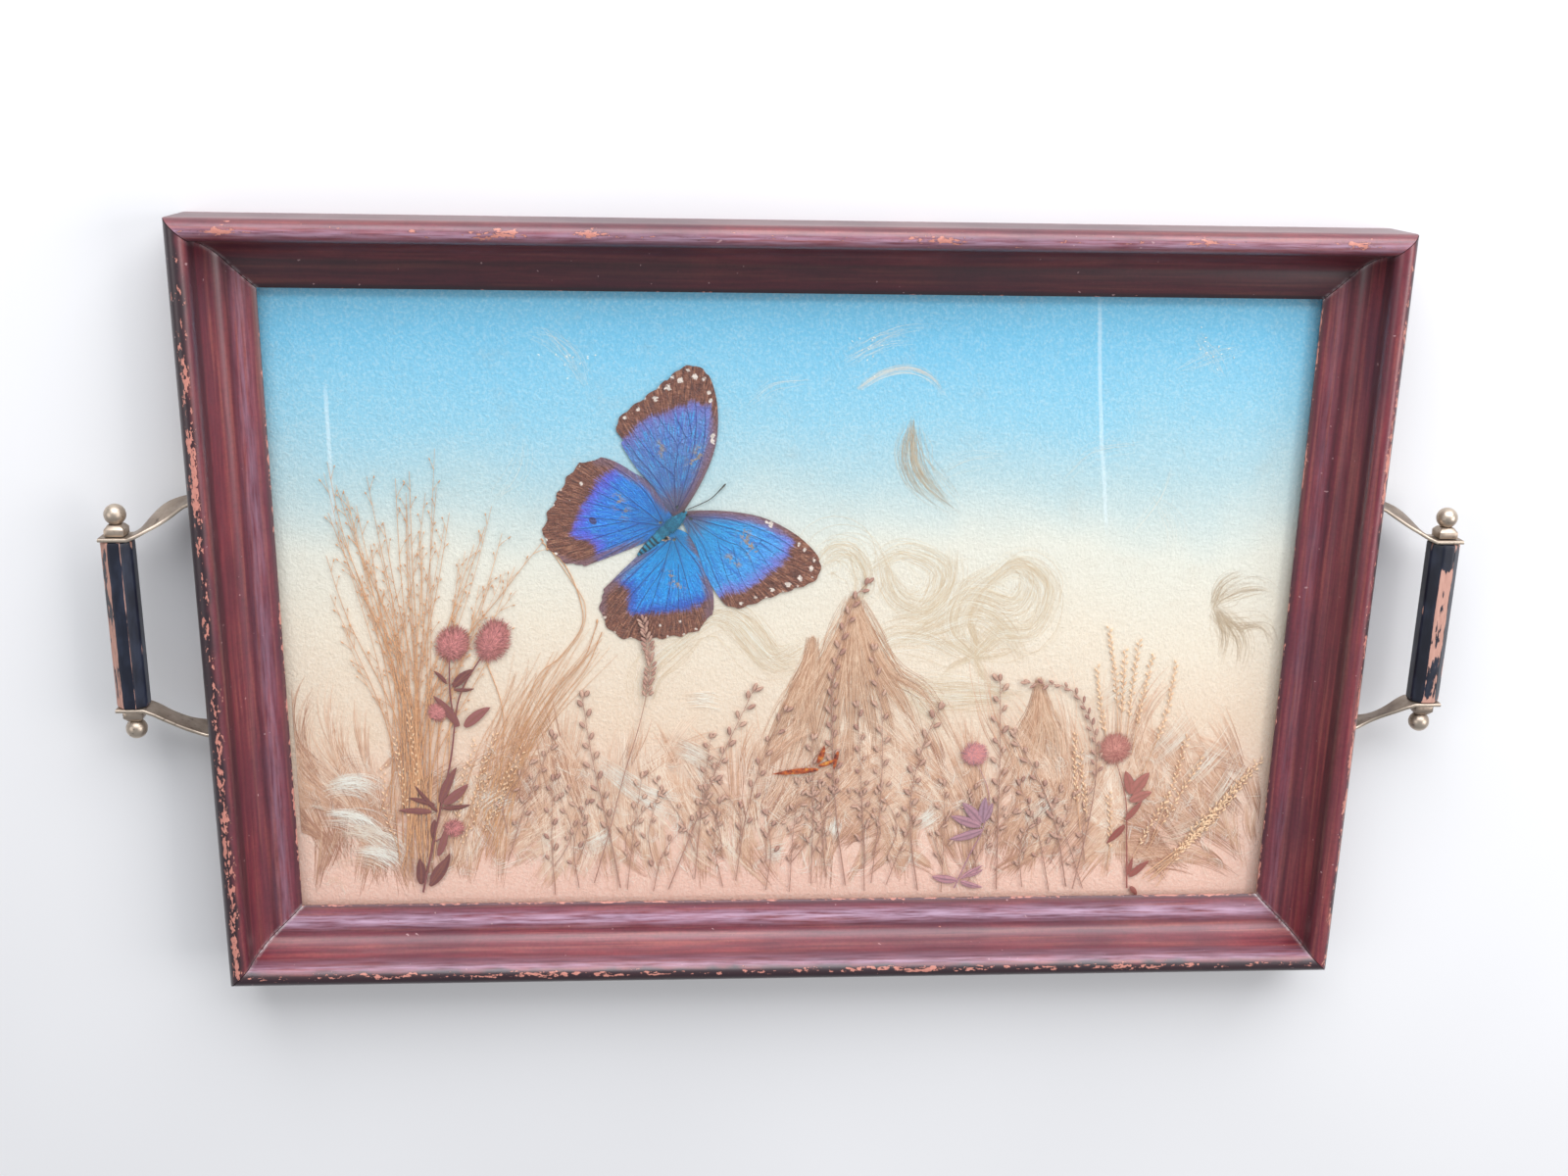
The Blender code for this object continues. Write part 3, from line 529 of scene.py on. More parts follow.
def build_rail(name, length, origin, look):
    kind = {**PLAIN_RAIL, **RAILS[name]}
    turn, section = kind["turn"], rail_section()
    steps, columns = int(length / 2) + 1, len(section)
    inwards, z = (np.broadcast_to(column, (steps, columns)) for column in section.T)
    x = np.linspace(-1, 1, steps)[:, None] * (length / 2 - inwards - MITRE_GAP * math.sqrt(0.5))
    local = np.stack([x.ravel(), inwards.ravel()], 1)
    world = local @ turning(math.radians(turn)).T + np.asarray(origin)
    d, z = local[:, 1], z.ravel()
    along = world[:, 1] if abs(turn) == 90 else world[:, 0]
    arc = np.concatenate([[0], np.cumsum(np.linalg.norm(np.diff(section, axis=0), axis=1))])
    around = arc[np.arange(len(world)) % columns]
    on_face, on_bead = z > SIGHT_EDGE_Z, z > BEAD_FOOT_Z

    spots = sum(height * hump(along, centre, width) for centre, width, height in kind["spots"])
    wear = kind["wear"] + kind["slope"] * smooth(along, 40, -140) + spots
    wear = wear * (hump(d, *kind["bead"]) * smooth(z, 18, 27))
    wear = np.clip(wear + kind["side_wear"][0] * smooth(z, 28, kind["side_wear"][1]) * (d < 0.5), 0, 1)
    wear = np.maximum(wear, smooth(d, 28.2, 28.7) * on_face * kind["lip_wear"])
    ragged = 2.2 * (noise(np.column_stack([along, around]), 5.0, 17) - 0.5)
    outer = smooth(d + ragged, *kind["fade"]) * (z > 1)
    # Painted shade: the dark outer side (partly the lacquer's own near-black), the groove, the sight edge, the top
    # rail's cove and a line below the cove
    shade = (0.5 + (kind["darkest"] - 0.5) * smooth(z, 22, 28)) * outer + kind["groove"] * (hump(d, 9.3, 0.8) * on_bead)
    shade = shade + 0.55 * smooth(d, 26.5, 28.5) * on_face
    shade = shade + (kind["cove"][0] * smooth(d, 8.5, 11) + kind["cove"][1] * smooth(d, 17, 21))
    shade = np.clip(shade + kind["line"] * hump(d, 17.9, 1.1) * on_face, 0, 0.9)
    # Painted highlight: a pale lavender band on the apron, strongest on the bottom rail, and a line along the bead
    share, centre, width = kind["bead_painted_highlight"]
    haze = kind["haze"] * hump(d, 22.0, 3.0) * on_face + share * hump(d, centre, width) * on_bead
    dust = smooth((length / 2 - d) - np.abs(local[:, 0]), 1.1, 0.3) * smooth(d, 6, 12) * kind["dust"] * (z > 9)
    rail = np.column_stack([along + 700 * (turn + 90) / 90, around, np.full(len(world), turn)])
    faces = [group[:, ::-1] for group in (grid_faces(steps, columns, wrap=True), *end_caps(steps, columns))]
    part = Part().add(np.column_stack([world, z]), faces, wear=wear, shade=shade, haze=haze, dust=dust, rail=rail)
    return part.build(name, look, "frame_wood", [name], sharp=38)


def build_frame():
    look = frame_look()
    half_x, half_y = TRAY[0] / 2, TRAY[1] / 2
    build_rail("rail_bottom", TRAY[0], (0, -half_y), look)
    build_rail("rail_top", TRAY[0], (0, half_y), look)
    build_rail("rail_left", TRAY[1], (-half_x, 0), look)
    build_rail("rail_right", TRAY[1], (half_x, 0), look)


def dress_sheets():
    dressed = {"glass_pane": glass_look(), "backing_paper": paper_look(), "back_board": board_look()}
    steel = steel_look()
    dressed.update({name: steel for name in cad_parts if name.startswith("brad_")})
    for name, look in dressed.items():
        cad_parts[name].material_slots[0].material = look


# ---- Handles ----

GRIP = {"x": 32.0, "z": 22.0, "half": 36.4, "flats": 12.8}
PLATE_Y = 37.5
PLATE_SIDE = 12.4
FOOT = {"z": 13.0, "width": 18.0, "x": 1.1, "y": (67.0, 53.4)}
ARM = ((1.1, 51.4), (6.0, 50.2), (12.0, 47.4), (18.0, 43.2), (23.0, 39.4), (26.6, 37.5))
STRAP_HALF_THICK = 0.8
# Radians at mid-arm, by side and end: the straps are bent by hand
BRACKET_LEAN = {(-1, 1): 0.42, (1, 1): 0.3, (-1, -1): 0.0, (1, -1): 0.24}
BALL = {"radius": 4.45, "y": 47.2}


def at_handle(side, end, x, y, z):
    """World millimetres of a handle point: side is the tray's end, end which half of the handle."""
    x, y, z = np.broadcast_arrays(x, y, z)
    return np.column_stack([(side * (TRAY[0] / 2 + x)).ravel(), (end * y).ravel(), z.ravel()])


def facing(faces, side, end=1):
    """Mirroring turns faces inside out, so they are turned back."""
    return faces if side * end > 0 else faces[:, ::-1]


def handle_name(side, kind, end):
    return f"handle_{'left' if side < 0 else 'right'}_{kind}_{'upper' if end > 0 else 'lower'}"


def build_bracket(side, end, look):
    """Foot, curved arm and end plate of one brass strap with rounded edges."""
    foot = np.column_stack([np.full(14, FOOT["x"]), np.linspace(*FOOT["y"], 14)])
    plate = np.column_stack([np.linspace(27.2, GRIP["x"] + PLATE_SIDE / 2 - 0.02, 14), np.full(14, PLATE_Y)])
    route = np.vstack([foot, curve_through(ARM, 44), plate])
    ahead = np.gradient(route, axis=0)
    normal = np.column_stack([-ahead[:, 1], ahead[:, 0]])
    normal /= np.linalg.norm(normal, axis=1)[:, None]
    ease = smooth(route[:, 0], FOOT["x"], ARM[-1][0])
    width = FOOT["width"] + (PLATE_SIDE - FOOT["width"]) * ease
    rise = FOOT["z"] + (GRIP["z"] - FOOT["z"]) * ease
    pinch = 1 - 0.22 * np.sin(np.clip((route[:, 0] - 3) / 22, 0, 1) * math.pi) * (route[:, 1] < 52)
    taper = np.ones(len(route))
    taper[0], taper[1] = 0.55, 0.9
    half = ((-1, 0.5), (-0.97, 0.85), (-0.9, 1), (-0.5, 1), (0, 1), (0.5, 1), (0.9, 1), (0.97, 0.85), (1, 0.5))
    across = ((-1, -0.5), *half, *((-up, -out) for up, out in half[:-1]))
    lean = BRACKET_LEAN[side, end] * np.sin(ease * math.pi)
    rings, rubs = [], []
    for up, out in across:
        reach = (up * width / 2 * pinch * taper)[:, None]
        xy = route + normal * (out * STRAP_HALF_THICK - reach * np.sin(lean)[:, None])
        rings.append(np.column_stack([xy, rise + reach[:, 0] * np.cos(lean)]))
        rubs.append(np.full(len(route), 0.55 if abs(up) > 0.94 else 0.1))
    points = at_handle(side, end, *np.stack(rings, 1).reshape(-1, 3).T)
    groups = (grid_faces(len(route), len(across), wrap=True), *end_caps(len(route), len(across)))
    part = Part().add(points, [facing(group, side, end) for group in groups], rub=np.stack(rubs, 1).ravel())
    name = handle_name(side, "bracket", end)
    return part.build(name, look, "brass", [name], sharp=50)


def turned(profile, count, squareness=None):
    """Points and faces of a shape turned about local Z from (radius, height); squareness bends rings to squares."""
    profile = np.asarray(profile, float)
    a = 2 * math.pi * np.arange(count) / count
    radius = np.broadcast_to(profile[:, :1], (len(profile), count)).copy()
    if squareness is not None:
        square = 1 / np.maximum(np.abs(np.cos(a)), np.abs(np.sin(a)))
        square = np.minimum(square, 1.34)
        radius *= 1 + np.asarray(squareness)[:, None] * (square - 1)
    x, y = radius * np.cos(a), radius * np.sin(a)
    z = np.broadcast_to(profile[:, 1:], x.shape)
    return np.column_stack([x.ravel(), y.ravel(), z.ravel()]), grid_faces(len(profile), count, wrap=True)


def build_finial(side, end, look):
    """Ball on a small neck and square block, with the bolt through the plate."""
    a = np.radians(np.linspace(-62, 90, 22))
    ball = [(max(BALL["radius"] * math.cos(t), 0.01), BALL["y"] + BALL["radius"] * math.sin(t)) for t in a]
    bolt = [(0.01, 16.0), (1.5, 16.0), (1.7, 16.3), (1.7, 38.68)]
    block = [(4.05, 38.7), (4.2, 38.9), (4.2, 41.3), (4.05, 41.6)]
    neck = [(3.1, 43.0), (2.7, 43.25)]
    square = [0] * len(bolt) + [1] * len(block) + [0.7, 0.3] + [0] * len(ball)
    points, faces = turned([*bolt, *block, *neck, *ball], 40, square)
    world = at_handle(side, end, GRIP["x"] + points[:, 0], points[:, 2], GRIP["z"] + points[:, 1])
    rub = smooth(points[:, 2], 43, 50) * 0.5 + 0.15
    name = handle_name(side, "finial", end)
    return Part().add(world, facing(faces, side, -end), rub=rub).build(name, look, "brass", [name], sharp=40)


def build_grip(side, look):
    """Octagonal wooden grip with softened edges; wear is a value painted by face, edge and end."""
    flats, half = GRIP["flats"] / 2, GRIP["half"]
    corner = flats * math.tan(math.pi / 8)
    outline, edge, face = [], [], []
    for k in range(8):
        a = k * math.pi / 4
        normal, along = unit(a), np.array([-math.sin(a), math.cos(a)])
        for s in (-0.9, -0.6, 0.0, 0.6, 0.9):
            outline.append(normal * (flats - 0.02 * (abs(s) > 0.8)) + along * s * corner)
            edge.append(abs(s) ** 3)
            face.append(k)
        outline.append(unit(a + math.pi / 8) * (flats / math.cos(math.pi / 8) - 0.14))
        edge.append(1.0)
        face.append(k + 0.5)
    y = np.concatenate([[-half, -half + 0.25], np.linspace(-half + 1, half - 1, 80), [half - 0.25, half]])
    inset = np.ones(len(y))
    inset[[0, -1]] = 0.93
    inset[[1, -2]] = 0.985
    ring = np.array(outline)[None] * inset[:, None, None]
    where, face, edge = (np.broadcast_to(v, ring.shape[:2]) for v in (y[:, None], np.array(face), np.array(edge)))
    world = at_handle(side, 1, GRIP["x"] + ring[..., 0], where, GRIP["z"] + ring[..., 1])
    wear = 0.32 * edge + 0.25 * smooth(np.abs(where), half - 5, half)
    if side < 0:
        wear = wear + 0.55 * (face == 1) + 0.35 * (face == 2.5) + 0.2 * (face == 1.5)
    else:
        strip = smooth(where, -30, -8) * smooth(where, 30, 22) + 0.7 * smooth(where, -12, -30)
        wear = wear + 0.62 * (face == 2) * strip + 0.3 * (face == 1.5) + 0.25 * (face == 1)
    name = f"handle_{'left' if side < 0 else 'right'}_grip"
    groups = (grid_faces(len(y), len(outline), wrap=True), *end_caps(len(y), len(outline)))
    part = Part().add(world, [facing(group, -side) for group in groups], wear=wear.ravel())
    return part.build(name, look, "grip_wood", [name], sharp=30)


def build_screw(side, end, z, number, look):
    """Round-headed brass screw with a slot across its head."""
    seat = FOOT["x"] + 0.8 + 0.02
    a = np.radians(np.linspace(90, 0, 8))
    dome = [(max(2.7 * math.cos(t), 0.02), seat + 1.38 * math.sin(t)) for t in a]
    profile = [*dome, (2.6, seat), (1.2, seat), (1.2, -7.0), (0.02, -9.0)]
    points, faces = turned(profile, 32)
    turn = 0.6 * number + end
    across = points[:, 0] * math.cos(turn) + points[:, 1] * math.sin(turn)
    slot = smooth(np.abs(across), 0.55, 0.35) * (points[:, 2] > seat + 0.2)
    points[:, 2] -= 0.55 * slot
    world = at_handle(side, end, points[:, 2], 60.0 + points[:, 0], FOOT["z"] + z + points[:, 1])
    name = f"{handle_name(side, 'screw', end)}_{number}"
    part = Part().add(world, facing(faces, side, end), rub=0.3 * (1 - slot))
    return part.build(name, look, "screw_brass", [name], sharp=50)


def build_handles():
    brass, grip = brass_look(), grip_look()
    for side in (-1, 1):
        build_grip(side, grip)
        for end in (1, -1):
            build_bracket(side, end, brass)
            build_finial(side, end, brass)
            for number, z in enumerate((-5.0, 5.0), 1):
                build_screw(side, end, z, number, brass)


# ---- Butterfly ----

BODY_CENTRE = np.array([-51.3, 40.6])
BODY_ANGLE = math.radians(42.4)
FORWARDS = np.array([math.cos(BODY_ANGLE), math.sin(BODY_ANGLE)])
OUTWARDS = np.array([math.sin(BODY_ANGLE), -math.cos(BODY_ANGLE)])
FOREWING = (
    (-0.9, 4.2), (4, 11.5), (14, 21.5), (25, 29.3), (38, 34), (49, 35.3), (56.3, 34), (60.3, 30), (60.5, 24.5),
    (58, 18), (55, 11), (52, 3), (49, -4.5), (45, -9), (37.5, -9.3), (25, -6.3), (14.5, -1.7), (5, 0.8),
)
HINDWING = (
    (-0.2, -4.0), (8, 2.6), (19, 3.4), (28, 1), (36, -1.3), (42.5, -5), (46.2, -11), (46.6, -18), (45, -25),
    (42, -33.5), (39, -41), (33.5, -47.5), (27, -49.7), (20, -49.2), (13, -45), (9.8, -38), (6, -28),
    (2.2, -17),
)
FORE_VEINS = (
    ((1.5, 5), (14, 17), (27, 24.5), (40, 29), (57, 32)),
    ((2, 5), (12, 11.5), (22, 17.5), (31, 22), (46, 26.5), (60, 27)),
    ((31, 20.5), (45, 22), (59.5, 21)),
    ((31, 18), (44, 16), (57.5, 14.8)),
    ((2, 4.5), (12, 7), (20, 9.4), (29, 13.5), (42, 9.5), (54.5, 8)),
    ((31, 22), (31.5, 17.5), (29, 13.5)),
    ((24, 11), (37, 4), (51.3, 0.8)),
    ((17, 8.2), (31, 0.5), (47.4, -5.6)),
    ((2, 3.8), (15, 1.5), (29, -4), (43, -8.7)),
)
HIND_VEINS = (
    ((3, -4.5), (18, -1), (30, -2.2), (41.5, -5.2)),
    ((3, -5.5), (14, -7), (28, -9.5), (45.6, -13.5)),
    ((15, -8.5), (29, -15), (45.8, -21.5)),
    ((17, -12), (31, -22), (43.8, -29)),
    ((3, -6), (10, -12), (16, -17), (29, -29), (40, -38.5)),
    ((14, -15.5), (24, -31), (35.5, -45.3)),
    ((10, -13), (18, -31), (28, -49.4)),
    ((3.5, -8), (9, -24), (14, -37), (18.5, -48.6)),
    ((4, -13), (7.5, -27), (11, -40)),
)
# Pale spots of the forewing: centre, radius
FORE_SPOTS = (
    (55.2, 29, 1.15), (55.6, 22.8, 1.1), (53.9, 16.8, 1.1), (51.0, 10.2, 0.95), (48.8, 2.2, 0.8), (46.4, -4.4, 0.7),
    (53.4, 32.4, 0.8), (47.0, 32.6, 0.75), (43.5, 32.4, 0.6), (26.4, 28.4, 0.9), (28.6, 29.1, 1.0), (58.6, 27, 0.5),
    (57.6, 19.6, 0.5), (55.2, 13.2, 0.5), (52.4, 6, 0.45),
)
HIND_SPOTS = (
    (44.4, -8.5, 0.5), (45.4, -14, 0.45), (45.2, -20, 0.5), (43.4, -27, 0.5), (41.0, -34, 0.45), (37.4, -41.6, 0.5),
    (31.5, -47.2, 0.45), (24, -48.4, 0.5), (39.5, -19, 0.4), (37.5, -27.5, 0.45),
)
# name, side, swing in degrees, shift, blue near the root, blue further out, tone by the border
WINGS = (
    ("wing_fore_upper", -1, 25.5, (1.7, -1.6), (92, 124, 186), (112, 134, 204), (122, 110, 186)),
    ("wing_fore_right", 1, 0.0, (0.0, 0.0), (40, 170, 240), (96, 158, 238), (132, 124, 216)),
    ("wing_hind_left", -1, 0.0, (0.0, 0.0), (20, 134, 232), (52, 116, 240), (104, 88, 220)),
    ("wing_hind_lower", 1, -17.5, (2.1, -0.3), (0, 166, 246), (6, 146, 246), (52, 74, 190)),
)
# Where each wing is crinkled by the press, and how far around
PRESSED = {
    "wing_fore_upper": ((23, 17.5), 7.0), "wing_fore_right": ((29, 16), 5.5),
    "wing_hind_left": ((16, -9), 5.5), "wing_hind_lower": ((22, -17), 5.0),
}
GLASS_Z = 6.93  # no wing rises past it


def body_place(points, side=1):
    """World x, y of (outwards, forwards) points, as rows."""
    points = np.asarray(points, float)
    return BODY_CENTRE + side * points[:, :1] * OUTWARDS + points[:, 1:2] * FORWARDS


def wing_look(name, inner, outer, rim):
    """Blue scales with dark veins, a brown border streaked inwards, pale spots and rubbed patches."""
    look = Look(name)
    place = look.place()
    fan = look.attribute("fan", "Vector")
    rays = look.noise(look.stretched(fan, 1.0, 0.06, 1.0), 1.0, 3.0, 0.6)
    streaks = look.noise(look.stretched(fan, 4.5, 0.16, 1.0), 1.0, 3.0, 0.6)
    scales = look.noise(look.stretched(fan, 2.2, 1.1, 1.0), 1.0, 2.0, 0.7)
    fine = look.noise(place, 1300.0, 2.0, 0.7)
    ray_shift, streak_shift = look.minus(rays, 0.5), look.minus(streaks, 0.5)
    blue = look.tint(inner, outer, look.attribute("reach"), 0.25, 0.85)
    blue = look.tint(blue, (34, 84, 196), rays, 0.42, 0.68, 0.6)
    # The pale cyan streaks are partly the scales' own streaking and partly a painted highlight on the crinkles
    blue = look.tint(blue, (72, 190, 250), streaks, 0.47, 0.66, 0.75)
    blue = look.tint(blue, (30, 110, 220), scales, 0.5, 0.8, 0.4)
    edge = look.times_plus(ray_shift, 3.0, look.attribute("border"))
    edge = look.times_plus(streak_shift, 7.0, edge)
    edge = look.times_plus(look.minus(fine, 0.5), 2.5, edge)
    colour = look.tint(blue, rim, edge, 6.0, 0.5, 0.75)
    brown = look.ramp(streaks, (0.34, (70, 34, 28)), (0.5, (148, 84, 58)), (0.66, (216, 152, 116)))
    brown = look.mix(look.noise(place, 330.0, 4.0, 0.7), brown, (104, 56, 42))
    colour = look.tint(colour, brown, edge, 1.2, -1.8)
    dusky = look.times_plus(ray_shift, 1.2, look.attribute("dusk"))
    dust = look.mix(fine, (116, 78, 106), (150, 116, 112))
    colour = look.tint(colour, dust, dusky, 0.1, 0.9, 0.85)
    vein = look.span(look.attribute("vein"), 0.36, 0.12, 0.0, 0.6)
    vein_colour = look.tint((18, 44, 120), (96, 56, 44), edge, 1.5, -1.5)
    colour = look.mix(vein, colour, vein_colour)
    ragged = look.noise(place, 620.0, 2.0, 0.6)
    spot = look.times_plus(look.minus(ragged, 0.5), 3.2, look.attribute("spot"))
    colour = look.tint(colour, (244, 226, 214), spot, 0.3, -0.25, 0.95)
    rub = look.times(look.attribute("rub"), look.span(look.noise(place, 420.0, 3.0, 0.6), 0.50, 0.56))
    colour = look.mix(rub, colour, look.mix(fine, (214, 190, 164), (104, 84, 80)))
    blot = look.span(look.attribute("blot"), 0.2, -0.3)
    colour = look.mix(look.times(blot, 0.8), colour, (74, 26, 60))
    folds = look.noise(look.stretched(fan, 1.4, 0.5, 1.0), 1.0, 3.0, 0.6, 1.2)
    relief = look.plus(look.times(fine, 0.25), look.times(folds, 2.4))
    relief = look.plus(relief, look.times(streaks, 0.5))
    look.set(Base_Color=colour, Roughness=look.span(fine, 0.3, 0.7, 0.38, 0.6), Normal=look.bump(relief, 1.0, 0.65))
    look.set(Specular_IOR_Level=0.5, Sheen_Weight=0.15, Sheen_Roughness=0.4)
    return look.material


def wing_margin(kind):
    """The outline with its scallops, and the line of the outer margin."""
    points = FOREWING if kind == "fore" else HINDWING
    outline = curve_through(points, 320, closed=True)
    centre = outline.mean(0)
    if kind == "fore":
        line, depth, seed = curve_through(points[6:14], 60), 0.75, 3
        vein_ends = [vein[-1] for vein in FORE_VEINS if vein[-1][0] > 42]
    else:
        line, depth, seed = curve_through(points[5:15], 80), 1.25, 5
        vein_ends = [vein[-1] for vein in HIND_VEINS]
    near = distance_to(outline, line)
    to_vein = np.min([np.linalg.norm(outline - end, axis=1) for end in np.asarray(vein_ends, float)], axis=0)
    inwards = centre - outline
    inwards /= np.linalg.norm(inwards, axis=1)[:, None]
    ragged = 0.5 * noise(outline, 1.1, seed)[:, None] + 0.35 * noise(outline, 2.7, seed + 1)[:, None]
    at_vein = (0.5 + 0.5 * np.cos(np.clip(to_vein / 3.6, 0, 1) * math.pi))[:, None]
    bite = depth * at_vein * -1 + depth * 0.6 + ragged * depth
    dent = np.clip(bite, 0, None) * smooth(near, 2.5, 0.4)[:, None]
    return outline + inwards * dent, line


def build_wing(name, side, swing, shift, inner, outer, rim):
    fore = name.startswith("wing_fore")
    outline, margin = wing_margin("fore" if fore else "hind")
    veins, spots = (FORE_VEINS, FORE_SPOTS) if fore else (HIND_VEINS, HIND_SPOTS)
    hub, root, z = (np.array([2.4, 5.2]), (1.5, 4.5), 6.15) if fore else (np.array([3.6, -5.0]), (2.5, -3.0), 5.8)
    if name == "wing_fore_upper":  # a torn notch at the hind corner
        tear = hump(np.linalg.norm(outline - (39.5, -9.6), axis=1), 0, 1.6)
        outline = outline + np.array([-0.6, 1.0]) * tear[:, None] * 2.4
    rings = 76
    s = np.linspace(0.02, 1, rings) ** 0.9
    flat = (hub + s[:, None, None] * (outline - hub)[None]).reshape(-1, 2)
    out = s.repeat(len(outline))
    to_margin = distance_to(flat, margin)
    to_vein = np.min([distance_to(flat, curve_through(vein, 14)) for vein in veins], axis=0)
    away = np.linalg.norm(flat - hub, axis=1)
    angle = np.arctan2(flat[:, 1] - hub[1], flat[:, 0] - hub[0])
    if fore:
        costa = distance_to(flat, curve_through(FOREWING[:8], 50))
        band = 8.0 + (7.0 if side < 0 else 7.6) * smooth(flat[:, 1], -4, 30) ** 1.3 - 1.2 * smooth(flat[:, 1], -2, -9)
        strip = 1.3 + 2.4 * smooth(flat[:, 0], 22, 48)
        border = np.minimum(to_margin - band, (costa - strip) * 1.6)
        dusk = smooth(costa, 7.5, 1.0) * smooth(flat[:, 0], 46, 30)
        dusk = np.maximum(dusk, 0.75 * smooth(away, 15, 4)) * (0.85 if side < 0 else 0.75)
        rubbed = [(24, 18), (33, 15.5)] if side > 0 else [(19, 17), (24, 22)]
        rub = hump(distance_to(flat, rubbed), 0, 2.6) + 0.8 * hump(distance_to(flat, [(27, 6), (32, 7)]), 0, 1.6)
    else:
        costa = distance_to(flat, curve_through(HINDWING[1:6], 40))
        inner_edge = distance_to(flat, curve_through(HINDWING[13:18], 40))
        border = to_margin - (8.0 + 5.0 * smooth(angle, -0.05, -0.4) * smooth(angle, -1.42, -1.1))
        dusk = 0.9 * smooth(inner_edge, 5.5, 1.2) * smooth(flat[:, 1], -8, -24)
        dusk = np.maximum(smooth(costa, 6.5, 1.0), dusk) * 0.85
        rub = 0.9 * hump(distance_to(flat, [(18, -14), (24, -12)]), 0, 2.4)
    spot = np.min([np.linalg.norm(flat - (x, y), axis=1) - r for x, y, r in spots], axis=0)
    blot = np.full(len(flat), 9.0)
    if name == "wing_hind_left":
        blot = np.linalg.norm((flat - (24.2, -26.4)) / (1.2, 0.9), axis=1) - 1.6
    # Relief: veins stand up, the membrane waves a little between them, with creases where it was pressed
    relief = 0.16 * hump(to_vein, 0, 0.35) + 0.14 * (noise(flat, 7.0, 7) - 0.5)
    crease = np.abs(noise(flat @ np.array([[0.8, -0.6], [0.6, 0.8]]) * (1, 0.45), 2.0, 9 + side) - 0.5) * 2
    centre, width = PRESSED[name]
    pressed = hump(np.linalg.norm(flat - centre, axis=1), 0, width)
    relief = relief + 0.55 * (1 - crease) ** 3 * pressed * (noise(flat, 3.0, 21) > 0.35)
    relief *= smooth(out, 1.0, 0.93) * 0.8 + 0.2
    placed = np.asarray(root) + np.asarray(shift) + (flat - root) @ turning(math.radians(swing)).T
    height = np.minimum(z + 0.1 - 0.35 * smooth(out, 0.6, 1.0) + relief, GLASS_Z)
    faces = grid_faces(rings, len(outline), wrap=True)
    fan = np.column_stack([angle * 14, away, np.full(len(flat), 10.0 * side)])
    part = Part().add(
        np.column_stack([body_place(placed, side), height]), facing(faces, -side), fan=fan, vein=to_vein, border=border,
        dusk=dusk, spot=spot, rub=rub, blot=blot, reach=away / (62 if fore else 52),
    )
    return part.build(name, wing_look(f"{name}_scales", inner, outer, rim), "wing", [name])


